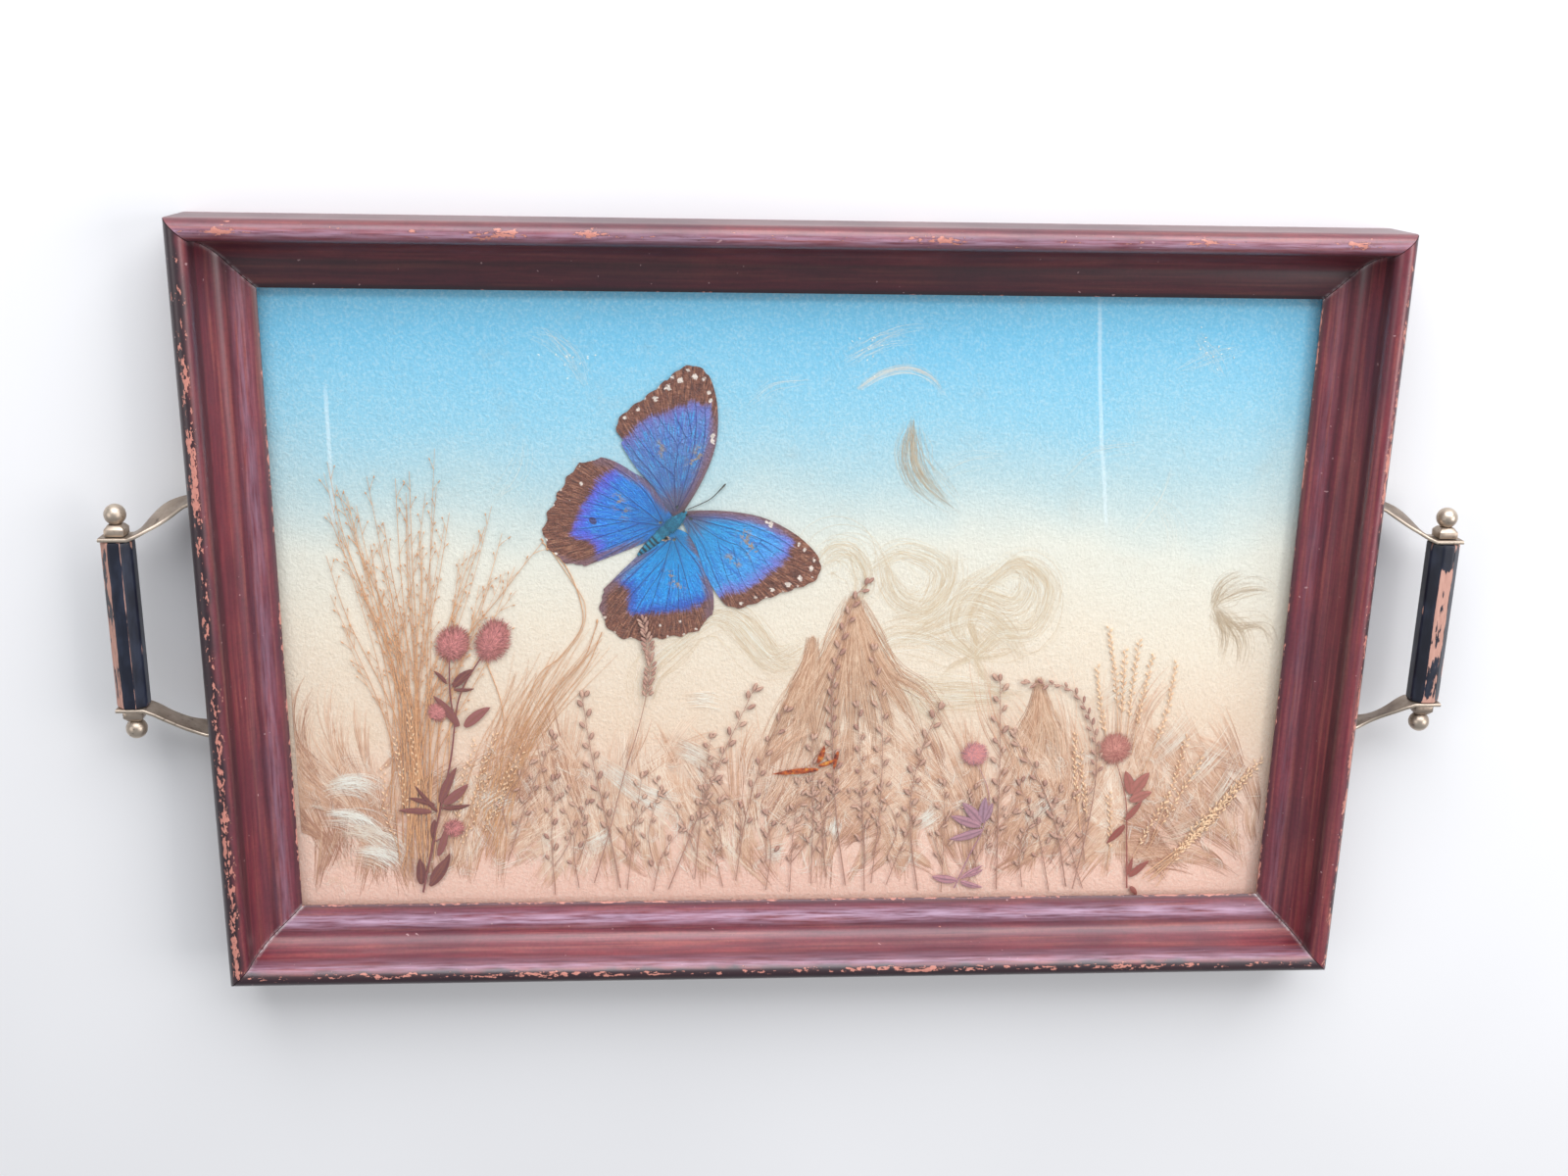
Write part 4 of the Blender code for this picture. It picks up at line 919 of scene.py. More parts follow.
def build_body():
    """Thorax and banded abdomen with short teal hair, and two dark eyes."""
    look = Look("insect_body")
    place = look.place()
    bands = look.attribute("band")
    hairs = look.noise(place, 1100.0, 3.0)
    # tone: the back's teal is partly the hair's own colour and partly painted highlight; the sides and underside darken
    # as painted shade
    colour = look.mix(look.attribute("tone"), (6, 34, 60), (34, 140, 174))
    colour = look.tint(colour, (18, 78, 116), hairs, 0.45, 0.7, 0.6)
    colour = look.mix(bands, colour, (22, 30, 34))
    colour = look.mix(look.attribute("pale"), colour, (214, 176, 134))
    look.set(Base_Color=colour, Roughness=0.55, Normal=look.bump(hairs, 0.6, 0.12))
    look.set(Sheen_Weight=0.3, Sheen_Roughness=0.4)
    part = Part()
    middle, half_length, half_width, z, half_z = -8.3, 14.6, 2.8, 5.95, 0.86
    u = np.sin(np.linspace(-math.pi / 2, math.pi / 2, 90))
    radius = np.sqrt(np.clip(1 - np.abs(u) ** 2.8, 0.0001, 1))
    waist = 1 - 0.24 * hump(u, 0.22, 0.08) - 0.16 * hump(u, 0.72, 0.06)
    rings = 0.03 * np.cos((u + 1) * 34) * smooth(u, 0.15, -0.1)
    taper = 0.62 + 0.38 * np.clip((u + 0.9) / 1.3, 0, 1)
    a = 2 * math.pi * np.arange(28) / 28
    across = (radius * waist * taper * (1 + rings))[:, None] * half_width * np.cos(a)
    up = (radius * waist * (1 + rings))[:, None] * half_z * np.sin(a)
    forward = np.broadcast_to((middle + u * half_length)[:, None], across.shape)
    xy = body_place(np.column_stack([across.ravel(), forward.ravel()]))
    points = np.column_stack([xy, z + up.ravel()])
    band = 0.95 * smooth(np.cos((forward + 23) * 2.9), -0.1, 0.3) * smooth(forward, -9.5, -12.5)
    # Lighter on top, darker on the sides and beneath: painted highlight and painted shade; a darker line runs along the
    # middle of the back
    tone = 0.35 + 0.65 * smooth(np.sin(a)[None] * np.ones_like(across), 0.1, 0.9) - 0.35 * hump(across, 0, 0.35)
    pale = 0.6 * smooth(forward, -22.4, -22.9)
    tone = np.clip(tone, 0, 1)
    part.add(points, grid_faces(90, 28, wrap=True), band=band.ravel(), tone=tone.ravel(), pale=pale.ravel())
    # Hair: short flat strands over thorax and sides, swept back
    n = 1500
    start = np.column_stack([RNG.uniform(-1, 1, n), RNG.uniform(-9, 5.2, n)])
    width_here = np.interp(start[:, 1], middle + u * half_length, radius * waist * taper) * half_width
    height_here = np.interp(start[:, 1], middle + u * half_length, radius * waist) * half_z
    x = start[:, 0] * width_here * 0.98
    lift = z + height_here * np.sqrt(np.clip(1 - start[:, 0] ** 2, 0, 1))
    t = np.linspace(0, 1, 4)
    long = RNG.uniform(0.8, 1.9, n)
    lean = RNG.normal(0, 0.35, n) + start[:, 0] * 0.5
    px = x[:, None] + (long * np.sin(lean))[:, None] * t
    py = start[:, 1][:, None] - (long * np.cos(lean))[:, None] * t
    pz = np.minimum(lift[:, None] + 0.12 * np.sin(t * math.pi), 6.85) - 0.25 * t * np.abs(start[:, :1])
    flat = body_place(np.column_stack([px.ravel(), py.ravel()]))
    paths = np.column_stack([flat, pz.ravel()]).reshape(n, 4, 3)
    hair, faces = strands(paths, 0.07 * (1 - 0.8 * t)[None])
    part.add(hair, faces, tone=np.repeat(RNG.uniform(0.2, 1.0, n), 8), band=0.0)
    # Eyes, and the orange tuft at a hindwing's root
    for side in (-1, 1):
        t = np.linspace(-1, 1, 9)
        path = np.column_stack([body_place([[side * 0.95, 5.3]]) + FORWARDS * t[:, None] * 0.7, np.full(9, 6.1)])
        size = 0.62 * np.sqrt(np.clip(1 - t**2, 0.001, 1))
        part.add(*strands(path[None], size[None], size[None], 12), tone=0.0, band=1.0)
    tuft = body_place(np.array([[2.4, -8.6]]) + RNG.normal(0, 0.45, (60, 2)))
    reach = RNG.normal(0, 0.7, (60, 2))
    t = np.linspace(0, 1, 3)
    paths = np.concatenate([tuft[:, None] + reach[:, None] * t[None, :, None], np.full((60, 3, 1), 6.55)], -1)
    part.add(*strands(paths, 0.16 * (1 - 0.7 * t)[None]), pale=1.0, tone=1.0)
    part.build("butterfly_body", look.material, "insect_body", ["butterfly_body"])
    feeler = Look("feeler")
    shade = feeler.noise(feeler.place(), 900.0, 3.0)
    feeler.set(Base_Color=feeler.ramp(shade, (0.3, (46, 38, 34)), (0.7, (96, 84, 70))), Roughness=0.6)
    route = curve_through([(-0.6, 7.2), (1.4, 13.0), (2.6, 18.5), (2.0, 27.0)], 40)
    thick = 0.2 + 0.16 * smooth(np.linspace(0, 1, 40), 0.72, 0.95)
    thick[-1] = 0.02
    path = np.column_stack([body_place(route), np.full(40, 5.95)])
    part = Part().add(*strands(path[None], thick[None], thick[None], 8))
    part.build("butterfly_antenna", feeler.material, "insect_body", ["butterfly_antenna"])


def build_butterfly():
    build_body()
    for wing in WINGS:
        build_wing(*wing)


# ---- Down and silk ----

PICTURE = (220.0, 138.0)


def locks(part, roots, headings, lengths, bends, spread, fibres, width, z, tone, gather=0.6):
    """Locks of fibres: each lock leaves its root at a heading, bends on its way and gathers towards its tip."""
    t = np.linspace(0, 1, 9)
    profile = np.clip(np.sin(math.pi * (0.06 + 0.9 * t)), 0, 1) ** 0.6
    for root, heading, length, bend, wide in zip(roots, headings, lengths, bends, np.broadcast_to(spread, len(roots))):
        side = RNG.uniform(-1, 1, fibres)
        size = length * RNG.uniform(0.6, 1.05, fibres)
        angle = heading + bend * t[None] ** 1.4 + (side * 0.12)[:, None] + RNG.normal(0, 0.05, fibres)[:, None] * t
        step = size[:, None] / (len(t) - 1)
        dx, dy = np.cos(angle) * step, np.sin(angle) * step
        x = root[0] + np.cumsum(dx, 1) - dx[:, :1] - (side * wide * math.sin(heading))[:, None] * (1 - gather * t)
        y = root[1] + np.cumsum(dy, 1) - dy[:, :1] + (side * wide * math.cos(heading))[:, None] * (1 - gather * t)
        slip = RNG.normal(0, 0.11 * length, fibres)[:, None]
        x += RNG.normal(0, 0.4, fibres)[:, None] + slip * math.cos(heading)
        y += RNG.normal(0, 0.6, fibres)[:, None] + slip * math.sin(heading)
        x, y = np.clip(x, -PICTURE[0], PICTURE[0]), np.clip(y, -PICTURE[1], PICTURE[1])
        lift = z[0] + (z[1] - z[0]) * RNG.uniform(0, 1, fibres)[:, None] * np.sin(t * math.pi * 0.8 + 0.2)
        paths = np.stack([x, y, lift], -1)
        points, faces = strands(paths, width * RNG.uniform(0.6, 1.2, fibres)[:, None] * profile)
        shades = tone[0] + (tone[1] - tone[0]) * t[None] + RNG.normal(0, 0.10, fibres)[:, None]
        shades = shades + 0.12 * np.cos(side * 3)[:, None]
        shades = shades + RNG.normal(0, 0.14) + 0.55 * (noise([root], 30, 31)[0] - 0.5)
        part.add(points, faces, tone=np.clip(np.repeat(shades.ravel(), 2), 0, 1))


def filaments(part, routes, count, wander, width, z, tone, steps=16, fray=0.0):
    """Long loose filaments that follow given routes with a little wander."""
    t = np.linspace(0, 1, steps)
    profile = np.sin(np.clip(t * 1.02 + 0.02, 0, 1) * math.pi) ** 0.4
    for route in routes:
        full, base = curve_through(route, 60), curve_through(route, steps)
        ahead = np.gradient(base, axis=0)
        ahead = ahead / np.linalg.norm(ahead, axis=1)[:, None]
        across = np.column_stack([-ahead[:, 1], ahead[:, 0]])
        shift = RNG.normal(0, wander, (count, 1))
        swing = RNG.uniform(0.2, 1, (count, 1))
        shift = shift * (0.35 + swing * np.sin(t * math.pi + RNG.uniform(-0.7, 0.7, (count, 1))))
        slide = RNG.uniform(-1, 1, (count, 1)) * wander
        base = base[None]
        if fray:  # each strand stops short of the route's end
            at = t * RNG.uniform(1 - fray, 1, (count, 1)) * 59
            base = np.stack([np.interp(at, np.arange(60), full[:, k]) for k in range(2)], -1)
        xy = base + across[None] * shift[..., None] + RNG.normal(0, wander * 0.35, (count, 1, 2))
        xy = np.clip(xy + slide[..., None] * ahead[None], (-PICTURE[0], -PICTURE[1]), PICTURE)
        height = np.broadcast_to(RNG.uniform(*z, (count, 1)), xy.shape[:2])
        points, faces = strands(np.dstack([xy, height]), width * RNG.uniform(0.6, 1.2, (count, 1)) * profile)
        shades = RNG.uniform(*tone, (count, 1)) * np.ones(steps)
        part.add(points, faces, tone=np.repeat(shades.ravel(), 2))


def build_down():
    tan = fibre_look("down_tan", (184, 130, 104), (230, 184, 152), (255, 234, 214))
    olive = fibre_look("down_tawny", (176, 126, 98), (216, 170, 138), (248, 218, 190), 0.35, 0.1)
    white = fibre_look("down_white", (226, 190, 162), (246, 226, 206), (255, 250, 240), 0.3, 0.3)
    silk = fibre_look("silk", (222, 194, 158), (246, 232, 208), (255, 253, 246), 0.35, 0.1)
    satin = fibre_look("silk_satin", (170, 140, 108), (206, 180, 148), (242, 226, 200), 0.35, 0.1)

    bed = Part()
    n = 470
    x = RNG.permutation(np.linspace(-216, 216, n)) + RNG.normal(0, 3, n)
    y = np.where(RNG.uniform(0, 1, n) < 0.72, RNG.uniform(-130, -88, n), RNG.uniform(-100, -72, n))
    sway = (noise(np.column_stack([x, y]), 34, 4) - 0.5) * 2.0
    heading = math.pi / 2 - sway + RNG.normal(0, 0.22, n)
    length = RNG.uniform(18, 40, n) * (0.75 + 0.6 * noise(x[:, None], 30, 8))
    bend = (noise(np.column_stack([x, y]), 20, 6) - 0.5) * 2.4
    wide = RNG.uniform(1.0, 3.6, n)
    locks(bed, np.column_stack([x, y]), heading, length, bend, wide, 23, 0.13, (4.96, 5.16), (0.1, 0.8))
    bed.build("down_bed", tan, "down", ["down_bed"])

    bright = Part()
    # root x, y, heading, length, bend
    tufts = [
        (-207, -98, 0.2, 24, -1.3), (-200, -106, 0.1, 26, -1.2), (-206, -84, 0.5, 20, -1.2),
        (-196, -116, 0.1, 20, -1.0), (-139, -95, 0.9, 14, -0.6), (-84, -74, -0.6, 22, -0.2), (-72, -84, -0.6, 22, 0.3),
        (-52, -62, -0.7, 18, 0.2), (-46, -42, 0.2, 14, -0.6), (-36, -72, 2.4, 16, 0.5), (168, -70, 0.7, 22, 0.3),
        (184, -84, 0.8, 24, 0.2), (196, -96, 0.9, 24, 0.3), (176, -112, 0.2, 22, 0.4), (112, -100, 0.6, 14, 0.3),
        (60, -104, 0.5, 10, 0.4), (-92, -112, 0.3, 12, 0.5), (-10, -118, 0.4, 9, -0.3), (20, -110, 1.2, 9, 0.3),
        (138, -46, 0.6, 26, 0.1),
    ]
    x, y, heading, length, bend = np.array(tufts).T
    roots = np.column_stack([x, y])
    locks(bright, roots, heading, length * 1.1, bend, 3.8, 36, 0.085, (5.3, 5.6), (0.35, 1.15), 0.3)
    roots, heading, length, bend = roots[:4] + (1.5, 2), heading[:4], length[:4], bend[:4]
    locks(bright, roots, heading, length * 1.1, bend, 2.0, 34, 0.09, (5.5, 5.7), (0.7, 1.3), 0.5)
    n = 620
    x, y = RNG.uniform(-214, 214, n), -128 + 62 * RNG.uniform(0, 1, n) ** 1.2
    heading, length, bend = RNG.uniform(0, 2 * math.pi, n), RNG.uniform(4, 13, n), RNG.normal(0, 1.9, n)
    locks(bright, np.column_stack([x, y]), heading, length, bend, 0.8, 5, 0.06, (5.35, 5.6), (0.3, 1.0))
    bright.build("down_bright_tufts", white, "down")

    tent = Part()
    apex = (27, 4)
    spread = ((-14, 0.9), (-2, 1.0), (8, 1.0), (18, 1.0), (28, 1.0), (40, 1.0), (52, 1.0), (64, 0.95), (76, 0.8))
    routes = []
    for x, drop in spread:
        reach = x - 27
        upper = ((27 + reach * 0.16, -12), (27 + reach * 0.38, -30))
        routes.append((apex, *upper, (27 + reach * 0.68, -50 * drop), (x, -82 * drop)))
    filaments(tent, routes, 84, 2.4, 0.10, (4.97, 5.12), (0.0, 0.9), 12, 0.55)
    second = [((9, -14), (6 + k * 0.8, -26), (-2 + k * 2.5, -44), (-14 + k * 7, -74)) for k in range(5)]
    third = [((112, -34), (110 + k * 1.4, -48), (104 + k * 4, -62), (94 + k * 7, -88)) for k in range(6)]
    filaments(tent, second + third, 50, 1.8, 0.10, (4.97, 5.12), (0.0, 0.9), 12, 0.5)
    tent.build("down_tent", olive, "down", ["down_tent"])

    swirls = Part()
    routes = [
        ((12, 22), (18, 27), (26, 25), (31, 14), (28, 2)), ((40, 22), (46, 8), (58, 2), (68, 12), (70, 26)),
        ((36, 20), (48, 26), (64, 18), (60, 2), (44, -4)), ((62, -6), (78, 6), (98, 2), (104, 14), (94, 24)),
        ((50, -14), (64, -8), (82, -2), (96, -12), (104, -24)), ((32, -26), (44, -14), (60, -14), (76, -22)),
        ((84, -22), (74, -8), (78, 8), (90, 18)), ((82, -22), (92, -12), (106, -10), (114, 0)),
        ((46, -34), (70, -40), (98, -40)), ((86, 12), (100, 20), (112, 10), (110, -6)),
        ((66, -54), (58, -42), (70, -39), (104, -41)), ((-50, -14), (-30, -4), (-10, -22), (6, -16)),
        ((-38, -2), (-24, -6), (-8, -24), (4, -26)), ((-45, -12), (-62, -28), (-66, -44)),
    ]
    filaments(swirls, routes, 60, 4.6, 0.055, (4.96, 5.03), (-0.5, 1.1), 22)
    hub = np.array([82, -22])
    star = [(hub, hub + 12 * unit(a), hub + 24 * unit(a + 0.2)) for a in (0.1, 0.9, 1.7, 2.6, 3.6, 5.2)]
    filaments(swirls, star, 20, 1.2, 0.06, (4.97, 5.0), (-0.3, 0.5), 10, 0.6)
    swirls.build("down_swirls", silk, "down", ["down_swirls"])

    thin = (4.95, 4.99)
    pieces = (
        # name, look, bundles of: strands, wander, width, tone, steps, fray, routes
        ("silk_brush", satin, (
            (26, 2.7, 0.055, (-0.1, 0.8), 14, 0.5, (
                ((50, 85), (50, 72), (55, 60), (70, 46)), ((49, 82), (47, 70), (52, 57), (64, 47)),
                ((51, 80), (53, 66), (60, 55), (74, 43)),
            )),
        )),
        ("silk_arc", white, (
            (24, 1.0, 0.05, (0.4, 1.0), 16, 0.3, (((26, 99), (36, 105), (47, 107), (57, 103), (65, 93)),)),
            (12, 3.0, 0.03, (0.6, 1.0), 12, 0.5, (
                ((30, 116), (42, 122), (58, 124)), ((20, 108), (36, 116), (50, 118)),
            )),
        )),
        ("silk_tuft_right", satin, (
            (30, 2.6, 0.05, (-0.2, 0.8), 14, 0.5, (
                ((190, 0), (197, -6), (204, -16), (203, -32)), ((189, 3), (198, 8), (208, 10), (217, 6)),
                ((190, 0), (195, -12), (194, -28)), ((192, -4), (202, -8), (212, -8), (218, -18)),
                ((188, 2), (192, 12), (202, 18)),
            )),
        )),
    )
    for name, look, bundles in pieces:
        part = Part()
        for count, wander, width, tone, steps, fray, routes in bundles:
            filaments(part, routes, count, wander, width, thin, tone, steps, fray)
        part.build(name, look, "down", [name])
    wisps = Part()
    wisp_routes = [
        ((-112, 120), (-104, 116), (-95, 108), (-88, 98)), ((-104, 122), (-96, 112), (-92, 103)),
        ((20, 112), (30, 117), (44, 124)), ((170, 122), (176, 115), (184, 104)), ((164, 108), (176, 114), (190, 118)),
        ((157, 52), (163, 44), (167, 36), (167, 26)), ((-128, 51), (-122, 58), (-118, 66), (-116, 76)),
        ((12, 21), (19, 26), (26, 26)), ((60, 60), (74, 68), (92, 70)), ((-20, 92), (-10, 100), (4, 102)),
        ((118, 60), (130, 70), (150, 74)), ((150, 36), (160, 52), (164, 66)),
    ]
    filaments(wisps, wisp_routes, 9, 2.4, 0.03, thin, (0.5, 1.0), 14)
    # Painted glints: small pale flecks that stand for light catching the silk
    painted_glints = np.vstack([RNG.normal(0, 1, (12, 2)) * 5 + centre for centre in ((-96, 111), (29, 117), (177, 114))])
    pods(wisps, painted_glints, RNG.uniform(0, math.pi, len(painted_glints)), 1.0, 0.45, 5.0, 0.9, 0.0)
    wisps.build("silk_wisps", white, "down")


# ---- Grasses and plants ----


def pods(part, centres, headings, length, width, z, tone, rim=0.9):
    """Small pointed pods, darker along their sides than on top."""
    centres = np.asarray(centres, float)
    n = len(centres)
    t = np.linspace(-1, 1, 7)
    size = length * RNG.uniform(0.8, 1.15, n) / 2
    ahead = np.column_stack([np.cos(headings), np.sin(headings)])
    xy = centres[:, None] + ahead[:, None] * (size[:, None] * t)[..., None]
    height = np.broadcast_to(z + RNG.uniform(-0.1, 0.1, (n, 1)), (n, 7))
    wide = width * (1 - np.abs(t) ** 2.2) ** 0.7 * RNG.uniform(0.85, 1.1, (n, 1)) / 2 + 0.02
    points, faces = strands(np.dstack([xy, height]), wide, np.minimum(wide, 0.3), 6)
    around = np.abs(np.cos(2 * math.pi * np.arange(6) / 6))
    edges = np.broadcast_to(0.75 * rim * (around > 0.9), (n, 7, 6)).ravel()
    tones = np.broadcast_to(tone + RNG.uniform(-0.2, 0.2, (n, 1, 1)), (n, 7, 6)).ravel()
    part.add(points, faces, tone=np.clip(tones, 0, 1), rim=edges)


STEM_TONE = 0.35


def stalk(part, route, radius, z, tone, steps=24, tip=0.35):
    route = curve_through(route, steps)
    t = np.linspace(0, 1, steps)
    thick = radius * (1 - (1 - tip) * t)
    path = np.column_stack([route, z + 0.05 * np.sin(t * 9)])
    points, faces = strands(path[None], thick[None], np.minimum(thick, 0.3)[None], 5)
    part.add(points, faces, tone=tone, rim=0.0)
    return route


def seed_stem(
    part, route, radius=0.34, pod=(4.2, 2.1), start=0.3, every=4.6, branch=4.5, z=5.95, tone=0.5, double=False
):
    """A stem with oval pods on short side stalks from start, as a share of its length, to its tip."""
    line = stalk(part, route, radius, z, STEM_TONE)
    length = np.linalg.norm(np.diff(line, axis=0), axis=1).sum()
    count = max(int(length * (1 - start) / every), 1)
    centres, headings = [], []
    for k, t in enumerate(np.linspace(start, 0.985, count)):
        at = t * (len(line) - 1)
        i = min(int(at), len(line) - 2)
        base = line[i] + (line[i + 1] - line[i]) * (at - i)
        ahead = math.atan2(*(line[i + 1] - line[i])[::-1])
        for side in ((-1, 1) if double else ((-1) ** k,)):
            reach = branch * RNG.uniform(0.45, 1.15) * (1.15 - 0.7 * t)
            turn = ahead + side * 0.55 * RNG.uniform(0.6, 1.3)
            tip = base + reach * unit(turn)
            bent = (base + tip) / 2 + 0.12 * reach * unit(ahead)
            stalk(part, (base, bent, tip), radius * 0.5, z + 0.05, STEM_TONE, 5)
            centres.append(tip + 0.4 * pod[0] * unit(turn))
            headings.append(turn)
    tip_heading = math.atan2(*(line[-1] - line[-2])[::-1])
    centres.append(line[-1] + 0.35 * pod[0] * unit(tip_heading))
    headings.append(tip_heading)
    pods(part, centres, np.array(headings), pod[0], pod[1], z + 0.12, tone)


def panicle(part, route, radius=0.22, grain=(2.0, 0.8), every=1.5, start=0.4, z=5.9, tone=0.8, reach=1.4):
    """A fine grass stem with small grains set close along its upper part."""
    line = stalk(part, route, radius, z, 0.4)
    length = np.linalg.norm(np.diff(line, axis=0), axis=1).sum() * (1 - start)
    count = max(int(length / every), 2)
    t = np.linspace(start, 1, count) * (len(line) - 1)
    i = np.minimum(t.astype(int), len(line) - 2)
    base = line[i] + (line[i + 1] - line[i]) * (t - i)[:, None]
    ahead = np.arctan2(line[i + 1, 1] - line[i, 1], line[i + 1, 0] - line[i, 0])
    turn = ahead + np.where(np.arange(count) % 2, 0.6, -0.6) * RNG.uniform(0.4, 1.2, count)
    centres = base + np.column_stack([np.cos(turn), np.sin(turn)]) * reach * RNG.uniform(0.5, 1.2, count)[:, None]
    pods(part, centres, turn, grain[0], grain[1], z + 0.1, tone, rim=0.4)


def build_grasses():
    grass = plant_look("dry_grass", (200, 140, 98), (238, 188, 142), (166, 106, 70), 0.6)
    gold = plant_look("golden_grain", (216, 160, 120), (250, 216, 178), (190, 130, 92), 0.4)
    sheaf = Part()
    tips = [
        (-198, 66), (-195, 56), (-192, 54), (-199, 44), (-201, 25), (-187, 47), (-153, 72), (-170, 59), (-166, 48),
        (-153, 55), (-142, 27), (-130, 47), (-126, 35), (-109, 31), (-131, 15), (-182, 30), (-176, 40), (-160, 30),
        (-148, 44), (-189, 12), (-174, 8), (-138, 30), (-121, 20), (-194, 34), (-164, 62), (-157, 16), (-182, 60),
        (-146, 4), (-133, 38), (-196, -6),
    ]
    tips += [(x + RNG.normal(0, 5), y - RNG.uniform(4, 22)) for x, y in tips[::2]]
    for k, tip in enumerate(tips):
        tip = np.array(tip, float)
        base = np.array([-170 + RNG.normal(0, 6.5) + (k % 5) * 1.2, -128 + 10 * abs(RNG.normal(0, 3))])
        middle = base + (tip - base) * 0.45 + np.array([(tip[0] + 165) * -0.20 + RNG.normal(0, 1.6), 0])
        upper = base + (tip - base) * 0.8 + np.array([(tip[0] + 165) * -0.06 + RNG.normal(0, 1.0), 0])
        radius, z, tone = RNG.uniform(0.2, 0.36), RNG.uniform(5.5, 5.9), RNG.uniform(0.2, 0.9)
        line = stalk(sheaf, (base, middle, upper, tip), radius, z, tone, 22)
        for t in np.linspace(0.5, 0.98, 8):
            i = int(t * 21)
            ahead = line[min(i + 1, 21)] - line[i - 1]
            turn = math.atan2(ahead[1], ahead[0]) + RNG.choice((-1, 1)) * RNG.uniform(0.25, 0.6)
            size = RNG.uniform(2.5, 7)
            end = line[i] + size * unit(turn)
            stalk(sheaf, (line[i], (line[i] + end) / 2 + (0, 0.3), end), 0.15, 5.75, RNG.uniform(0.3, 0.9), 4)
            pods(sheaf, [end], np.array([turn]), 1.5, 0.55, 5.8, 0.5, 0.3)
    sheaf.build("grass_sheaf", grass, "grass", ["grass_sheaf"])

    loop = Part()
    for radius, z, tone, steps, route in (
        (0.24, 5.3, 0.55, 50,
         ((-109, 31), (-99, 20), (-93, 4), (-93, -8), (-103, -22), (-112, -30), (-122, -52), (-140, -90))),
        (0.18, 5.35, 0.7, 46, ((-107, 30), (-97, 14), (-91, 2), (-94, -12), (-108, -28), (-119, -42), (-128, -64))),
        (0.2, 5.35, 0.4, 40, ((-86, -6), (-92, -22), (-104, -36), (-118, -58), (-132, -84))),
        (0.2, 5.3, 0.6, 40, ((-84, -10), (-92, -28), (-108, -48), (-124, -74))),
        (0.22, 5.4, 0.6, 30, ((-135, -22), (-128, -50), (-132, -90), (-136, -124))),
    ):
        stalk(loop, route, radius, z, tone, steps)
    for share in np.linspace(0, 1, 44):  # blond grasses that lean right behind the clover
        tip = np.array([-124 + 45 * share, -30 + 14 * share]) + RNG.normal(0, (2.5, 5.0))
        base = np.array([-141, -104]) + RNG.normal(0, (6.0, 9.0)) + (4 * share, 0)
        middle = (base + tip) / 2 + (-3 + RNG.normal(0, 1.2), 2 + RNG.normal(0, 1.2))
        stalk(loop, (base, middle, tip), RNG.uniform(0.12, 0.22), RNG.uniform(5.2, 5.4), RNG.uniform(0.4, 1.0), 14, 0.3)
    pods(loop, [(-109, 32), (-107, 28), (-86, -5)], np.array([2.2, 1.9, 1.4]), 2.2, 0.8, 5.4, 0.4)
    loop.build("grass_loop", grass, "grass", ["grass_loop"])

    oats = Part()
    for k in range(9):
        base = np.array([167 + k * 1.0, -131 + RNG.normal(0, 2)])
        tip = np.array([218 - k * 3.2, -73 - k * 3.6 + RNG.normal(0, 1)])
        middle = (base + tip) / 2 + (3.5 - k * 0.8, -3.5)
        panicle(oats, (base, middle, tip), 0.18, (2.0, 0.85), 1.9, 0.36, 5.75 + k * 0.02, 0.85, 1.8)
    oats.build("oat_spray", gold, "grass", ["oat_spray"])

    golden = Part()
    right = (
        ((174, -26), (163, -78)), ((163, -22), (157, -70)), ((156, -15), (154, -66)), ((142, -9), (150, -60)),
        ((150, -20), (151, -62)), ((138, -28), (148, -72)), ((130, -60), (136, -108)), ((133, -70), (139, -112)),
        ((182, -62), (170, -112)), ((190, -72), (168, -118)), ((176, -90), (160, -126)), ((148, -90), (150, -128)),
    )
    left = (
        ((-141, -62), (-152, -112)), ((-132, -58), (-146, -104)), ((-126, -74), (-144, -116)),
        ((-136, -78), (-154, -122)), ((-176, -60), (-172, -110)), ((-170, -48), (-168, -96)),
        ((-182, -74), (-176, -118)), ((-120, -64), (-138, -110)),
    )
    for group, ways in (
        (right, (0.2, (1.9, 0.85), 1.5, 0.3, 5.7, 0.85, 1.7)), (left, (0.18, (1.7, 0.75), 1.7, 0.25, 5.7, 0.8, 1.8)),
    ):
        for tip, base in group:
            middle = ((tip[0] + base[0]) / 2 + RNG.normal(0, 1.2), (tip[1] + base[1]) / 2)
            panicle(golden, (base, middle, tip), *ways)
    golden.build("gold_panicle", gold, "grass", ["gold_panicle"])


